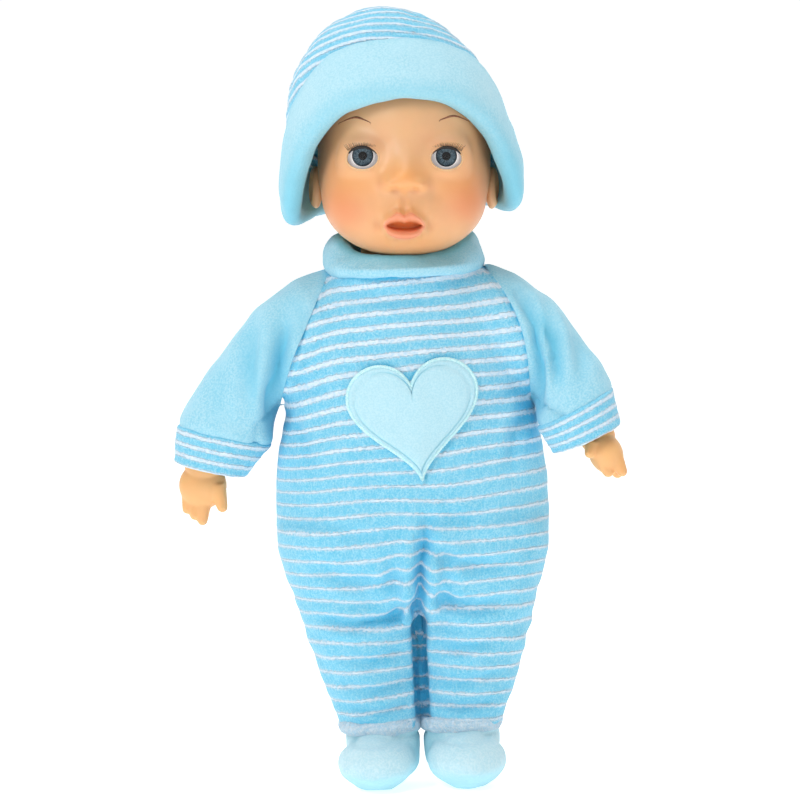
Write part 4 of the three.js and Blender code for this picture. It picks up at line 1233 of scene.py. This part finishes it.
def buildHat(velour, knit):
    a, b = hat["inside"]
    outline = rounded([(1.2, 15), (-0.6, 8), (-1.8, 3.6), (-0.2, 1.0), (3.4, 0.4), (6.2, 2.4), (7.4, 7),
                       (7.3, 12.5), (6.0, 18), (4.6, 23), (3.4, 26.4), (2.2, 27), (1.4, 22)], 4)
    bm = bmesh.new()
    around = 220
    loops = []
    for t, z in outline:
        loop = []
        for i in range(around):
            c, s = cos(2 * pi * i / around), sin(2 * pi * i / around)
            loop.append(bm.verts.new(((a + t) * c, (b + t) * s, z)))
        loops.append(loop)
    bridge(bm, loops + loops[:1])
    for v in bm.verts:
        across = v.co.x / hypot(v.co.x, v.co.y)
        level = (hat["high"] - v.co.z) / (hat["high"] - hat["low"])
        v.co.z -= (hat["droop"] * level + hat["droopAbove"] * (1 - level)) * across**4
    flat = np.array([v.co for v in bm.verts], float)
    brim = makeObject(bm, "hatBrim", velour, turn=hat["turn"] @ Matrix.Rotation(radians(hat["lean"]), 4, "Y"))
    form = ClothForm(brim)
    across = np.abs(flat[:, 0]) / np.hypot(flat[:, 0], flat[:, 1])
    edge = flat[:, 2] + hat["droop"] * across**4
    # painted shade: darker towards the sides of the brim and along its lower and upper edges
    paintMask(brim, "paintedShade", 0.45 * ease((across - 0.72) / 0.28) + 0.45 * ease((9 - edge) / 8) +
              0.3 * ease((edge - 24) / 4))
    form.uneven(1.3, 26, 21)
    form.uneven(0.5, 8, 22)
    form.refresh()
    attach(brim, "cap")
    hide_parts("hat_brim")

    rx, ry, rz = hat["dome"]
    bm = bmesh.new()
    around, rows = 200, 110
    loops = []
    lowest = np.arcsin(8 / rz)
    for k in range(rows):
        up = lowest + (pi / 2 - lowest) * k / rows
        full = cos(up) ** 0.8
        turns = [2 * pi * i / around for i in range(around)]
        loops.append([bm.verts.new((rx * full * cos(a), ry * full * sin(a), rz * sin(up))) for a in turns])
    top = bm.verts.new((0, 0, rz))
    bridge(bm, loops)
    for i in range(around):
        bm.faces.new((loops[-1][i], loops[-1][(i + 1) % around], top))
    bmesh.ops.recalc_face_normals(bm, faces=bm.faces[:])
    bmesh.ops.solidify(bm, geom=bm.faces[:], thickness=1.4)
    crown = makeObject(bm, "hatCrown", knit)
    form = ClothForm(crown)
    steps = np.linspace(0, pi / 2, 200)
    pieces = np.hypot(np.diff(43 * np.cos(steps)), np.diff(rz * np.sin(steps)))
    length = np.concatenate([[0], np.cumsum(pieces)])
    rise = np.arctan2(form.p[:, 2] / rz, np.hypot(form.p[:, 0] / rx, form.p[:, 1] / ry))
    along = np.interp(rise, steps, length)
    stripesOn(crown, along, 0.17, 4.7)
    form.out(0.35 * np.cos(2 * pi * (along / 4.7)) * -1)
    tip = np.hypot(form.p[:, 0], form.p[:, 1])
    form.p[:, 2] -= 2.0 * np.exp(-((tip / 5) ** 2))
    gathers = np.cos(np.arctan2(form.p[:, 1], form.p[:, 0]) * 11) * np.exp(-((tip / 10) ** 2))
    form.p[:, 2] += 0.7 * gathers
    form.p[:, 0] *= 1 + hat["full"] * np.sin(np.clip(form.p[:, 2] / 52, 0, 1) * pi)
    form.p[:, 0] += hat["shift"] * ease(form.p[:, 2] / 50)
    world = np.array(hat["turn"].to_3x3())
    form.p = form.p @ world.T + np.array([0, 0, 245.5])
    form.refresh()
    form.uneven(1.4, 22, 24)
    form.uneven(0.4, 7, 25)
    form.refresh()
    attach(crown, "cap")
    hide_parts("hat_crown")
    print("hat modelled")


# ---------- heart ----------
heart = {"x": 2.2, "z": 145.6, "width": 49.8, "height": 44.9, "turn": -4.8, "puff": 1.6, "cord": 0.66}


def heartPoint(t, size=1.0):
    x = heart["width"] / 2 * sin(t) ** 3
    z = (13 * cos(t) - 5 * cos(2 * t) - 2 * cos(3 * t) - cos(4 * t) + 2.5) * heart["height"] / 29
    lean = radians(-heart["turn"])
    x, z = x * size, z * size
    return x * cos(lean) - z * sin(lean) + heart["x"], x * sin(lean) + z * cos(lean) + heart["z"]


def chestAt(tree, x, z, back=False):
    origin = toFrame @ Vector((x, 90 if back else -90, z))
    hit = tree.ray_cast(origin, Vector((0, -1 if back else 1, 0)))[0]
    return (toFrame.inverted() @ hit).y


def buildHeart(tree, felt, satin):
    rings, around = 30, 200
    bm = bmesh.new()
    fronts, backs = [], []
    for k in range(1, rings + 1):
        size = k / rings
        edge = (1 - size) * 25
        height = heart["puff"] * min(1, (edge + 0.05) / 1.2) ** 0.5 + 0.5 * ease(np.float64(edge / 10))
        height -= 0.75 * np.exp(-(((edge - 2.4) / 0.7) ** 2))
        front, back = [], []
        for i in range(around):
            x, z = heartPoint(2 * pi * i / around, size)
            y = chestAt(tree, x, z)
            front.append(bm.verts.new((x, y - height - 0.65, z)))
            back.append(bm.verts.new((x, y + 1.2, z)))
        fronts.append(front)
        backs.append(back)
    for side in (fronts, backs):
        bridge(bm, side)
        bm.faces.new(side[0])
    for i in range(around):
        j = (i + 1) % around
        bm.faces.new((fronts[-1][i], fronts[-1][j], backs[-1][j], backs[-1][i]))
    pad = makeObject(bm, "heartPad", felt)
    pad.data.set_sharp_from_angle(angle=radians(60))
    bm = bmesh.new()
    count, segments = 900, 10
    loops = []
    for i in range(count):
        t = 2 * pi * i / count
        x, z = heartPoint(t)
        ahead, behind = heartPoint(t + 0.02), heartPoint(t - 0.02)
        way = Vector((ahead[0] - behind[0], 0, ahead[1] - behind[1])).normalized()
        across = Vector((way.z, 0, -way.x))
        y = chestAt(tree, x, z) - 1.1
        loop = []
        for s in range(segments):
            a = 2 * pi * s / segments
            r = heart["cord"] * (1 + 0.10 * sin(i * 2 * pi / 4.5 + a))
            away = across * (r * 1.15 * cos(a)) + Vector((0, r * sin(a), 0))
            loop.append(bm.verts.new(Vector((x, y, z)) + away))
        loops.append(loop)
    bridge(bm, loops + loops[:1])
    cord = makeObject(bm, "heartStitching", satin)
    for part in (pad, cord):
        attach(part, "heart_button")
    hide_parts("heart_patch")


# ---------- back flap ----------
def buildFlap(tree, fabric):
    across, up = 40, 36
    halfWidth, bottom, top = 26, 117, 166
    bm = bmesh.new()
    grid = {}
    for skin, lift in (("out", 2.9), ("in", 1.3)):
        for i in range(across + 1):
            for k in range(up + 1):
                x = -halfWidth + 2 * halfWidth * i / across
                z = bottom + (top - bottom) * k / up
                y = max(chestAt(tree, x * 0.999, z, True), 0)
                rim = min(i, across - i, k) == 0
                hem = 0.35 * np.exp(-((min(i, across - i, k) - 2.2) ** 2))
                bulge = (lift - (0.4 if rim else 0)) if skin == "out" else lift
                grid[skin, i, k] = bm.verts.new((x, y + bulge - (hem if skin == "out" else 0), z))
        for i in range(across):
            for k in range(up):
                corners = ((i, k), (i + 1, k), (i + 1, k + 1), (i, k + 1))
                bm.faces.new([grid[skin, m, n] for m, n in corners])
    edge = [(i, 0) for i in range(across)] + [(across, k) for k in range(up)]
    edge += [(i, up) for i in range(across, 0, -1)] + [(0, k) for k in range(up, 0, -1)]
    for (i, k), (j, m) in zip(edge, edge[1:] + edge[:1]):
        bm.faces.new([grid["out", i, k], grid["out", j, m], grid["in", j, m], grid["in", i, k]])
    flap = makeObject(bm, "backFlap", fabric)
    stripesOn(flap, stripeHeight(pointsOf(flap)), 0.16)
    flap.data.set_sharp_from_angle(angle=radians(62))
    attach(flap, "flap")
    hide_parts("back_flap")


stripedFabric = stripedMaterial("stripedTerry")
velourFabric = clothMaterial("paleVelour", cloth["velour"], 0.7, 1300, 0.3, 0.8, grain=0.22).material
hatFabric = clothMaterial("hatVelour", cloth["hat"], 0.7, 1300, 0.5, 0.6, grain=0.2).material
footFabric = clothMaterial("footTerry", cloth["foot"], 1.2, 1100, 0.5, 0.7, grain=0.28).material
skinVinyl = vinylMaterial("handVinyl", False, (0.86, 0.47, 0.19))
felt = clothMaterial("heartFelt", cloth["heart"], 0.5, 1500, 0, 0.2, grain=0.17).material
satin = Shader("satinThread", (0.52, 0.83, 0.86), 0.45, Sheen_Weight=0.4)
satin.colour(satin.mix(satin.ramp(satin.noise(1500, 2), 0.4, 0.6), (0.46, 0.79, 0.84), (0.62, 0.88, 0.90)))

nylon = Shader("wristNylon", (0.86, 0.85, 0.80), 0.5)
nylon.rough(nylon.ramp(nylon.noise(900, 3), 0.3, 0.7, 0.44, 0.56))

romperSurface = buildRomper(stripedFabric)
for name, side in sides.items():
    buildSleeve(name, side, velourFabric)
    buildCuff(name, side, stripedFabric)
    buildHand(name, skinVinyl, nylon.material)
    buildFoot(name, side, footFabric, stripedFabric)
print("sleeves and feet modelled")
buildCollar(velourFabric)
buildHat(hatFabric, stripedFabric)
surfaceMesh = bmesh.new()
surfaceMesh.from_mesh(romperSurface.data)
bodyTree = BVHTree.FromBMesh(surfaceMesh)
buildHeart(bodyTree, felt, satin.material)
buildFlap(bodyTree, stripedFabric)
surfaceMesh.free()
bpy.data.objects.remove(romperSurface)
print("heart and flap modelled")

# ---------- what is inside ----------
inside = {  # colour, roughness, metalness, speckle scale, bump in millimetres, and the pieces made of it
    "steel": ((0.56, 0.57, 0.58), 0.28, 1.0, 900, 0.01, ("case_screw_1", "case_screw_2", "battery_door_screw",
              "button_cell_1", "button_cell_2", "button_cell_3", "battery_contact_strip", "button_dome")),
    "casing": ((0.86, 0.86, 0.84), 0.42, 0.0, 500, 0.02, ("sound_case_front", "sound_case_rear",
               "battery_door", "left_eye_frame", "right_eye_frame")),
    "redButton": ((0.80, 0.12, 0.08), 0.35, 0.0, 500, 0.02, ("sound_button",)),
    "blackPlastic": ((0.02, 0.02, 0.022), 0.4, 0.0, 700, 0.02, ("sound_chip", "speaker_frame",
                     "power_switch_knob")),
    "hookAndLoop": ((0.62, 0.74, 0.80), 0.95, 0.0, 1800, 0.4, ("flap_hook_strip", "flap_loop_strip")),
    "board": ((0.02, 0.16, 0.05), 0.38, 0.0, 300, 0.03, ("circuit_board",)),
    "paperCone": ((0.03, 0.03, 0.03), 0.9, 0.0, 1100, 0.06, ("speaker_cone",)),
    "redWire": ((0.55, 0.02, 0.02), 0.45, 0.0, 900, 0.01, ("speaker_wire_red",)),
    "blackWire": ((0.02, 0.02, 0.02), 0.45, 0.0, 900, 0.01, ("speaker_wire_black",)),
    "nylon": ((0.86, 0.85, 0.80), 0.5, 0.0, 900, 0.02, ("neck_cable_tie",)),
    "foam": ((0.80, 0.78, 0.66), 0.95, 0.0, 1500, 0.3, ("pressure_pad",)),
    "castWeight": ((0.42, 0.43, 0.44), 0.45, 1.0, 900, 0.02, ("left_eye_weight", "right_eye_weight")),
}


def dressInside():
    for kind, (colour, roughness, metal, scale, height, pieces) in inside.items():
        made = Shader(kind, colour, roughness, Metallic=metal)
        speckle = made.noise(scale, 3, 0.6)
        made.colour(made.mix(made.ramp(speckle, 0.35, 0.65), tuple(c * 0.8 for c in colour), colour))
        made.rough(made.ramp(speckle, 0.3, 0.7, roughness * 0.88, min(1, roughness * 1.12)))
        made.bump(speckle, height / 1000, 0.6)
        for name in pieces:
            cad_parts[name].data.materials.clear()
            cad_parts[name].data.materials.append(made.material)
    print("inside dressed")


dressInside()

# ---------- stage ----------
stage = {"distance": 1.5, "rise": 5, "roll": 2.2, "width": 0.3129, "aimX": -3.3, "aimZ": 151.2,
         "room": 0.12, "wall": 1.03, "top": 0.12,
         "lamps": (("key", (-0.9, -1.1, 1.3), 0.7, 13.5), ("fill", (1.3, -1.2, 0.6), 1.2, 3),
                   ("over", (0.1, -0.25, 1.5), 0.9, 8))}


def buildStage():
    bm = bmesh.new()
    bmesh.ops.create_grid(bm, x_segments=1, y_segments=1, size=30)
    floor = makeObject(bm, "floor")
    floor.data.transform(Matrix.Scale(1000, 4))
    paper = Shader("whitePaper", (0.92, 0.92, 0.92), 0.8, Emission_Strength=0.54)
    paper.surface.inputs["Emission Color"].default_value = (1, 1, 1, 1)
    floor.data.materials.append(paper.material)
    world = bpy.data.worlds.new("studio")
    world.use_nodes = True
    tree = world.node_tree
    toward = tree.nodes.new("ShaderNodeTexCoord")
    split = tree.nodes.new("ShaderNodeSeparateXYZ")
    tree.links.new(toward.outputs["Generated"], split.inputs[0])
    glow = tree.nodes.new("ShaderNodeMapRange")  # a white wall behind the doll, a dimmer room in front
    glow.inputs["From Min"].default_value = -0.3
    glow.inputs["From Max"].default_value = 0.8
    glow.inputs["To Min"].default_value = stage["room"]
    glow.inputs["To Max"].default_value = stage["wall"]
    tree.links.new(split.outputs["Y"], glow.inputs["Value"])
    above = tree.nodes.new("ShaderNodeMath")
    above.operation = "MULTIPLY_ADD"
    tree.links.new(split.outputs["Z"], above.inputs[0])
    above.inputs[1].default_value = stage["top"]
    tree.links.new(glow.outputs["Result"], above.inputs[2])
    tree.links.new(above.outputs[0], tree.nodes["Background"].inputs["Strength"])
    tree.nodes["Background"].inputs["Color"].default_value = (1, 1, 1, 1)
    bpy.context.scene.world = world
    for name, where, size, watts in stage["lamps"]:
        light = bpy.data.lights.new(name, "AREA")
        light.size = size
        light.energy = watts
        lamp = bpy.data.objects.new(name, light)
        lamp.location = where
        lamp.rotation_euler = (Vector((0, 0, 0.15)) - lamp.location).to_track_quat("-Z", "Y").to_euler()
        bpy.context.scene.collection.objects.link(lamp)
    camera = bpy.data.cameras.new("camera")
    camera.lens = 36 * stage["distance"] / stage["width"]
    holder = bpy.data.objects.new("camera", camera)
    bpy.context.scene.collection.objects.link(holder)
    aim = toFrame @ Vector((stage["aimX"], 0, stage["aimZ"]))
    rise = radians(stage["rise"])
    back = Vector((0, -cos(rise), sin(rise)))
    holder.location = aim + back * stage["distance"]
    turn = back.to_track_quat("Z", "Y").to_matrix().to_4x4()
    holder.rotation_euler = (turn @ Matrix.Rotation(radians(-stage["roll"]), 4, "Z")).to_euler()
    bpy.context.scene.camera = holder
    bpy.context.scene.view_settings.view_transform = "Standard"


buildStage()
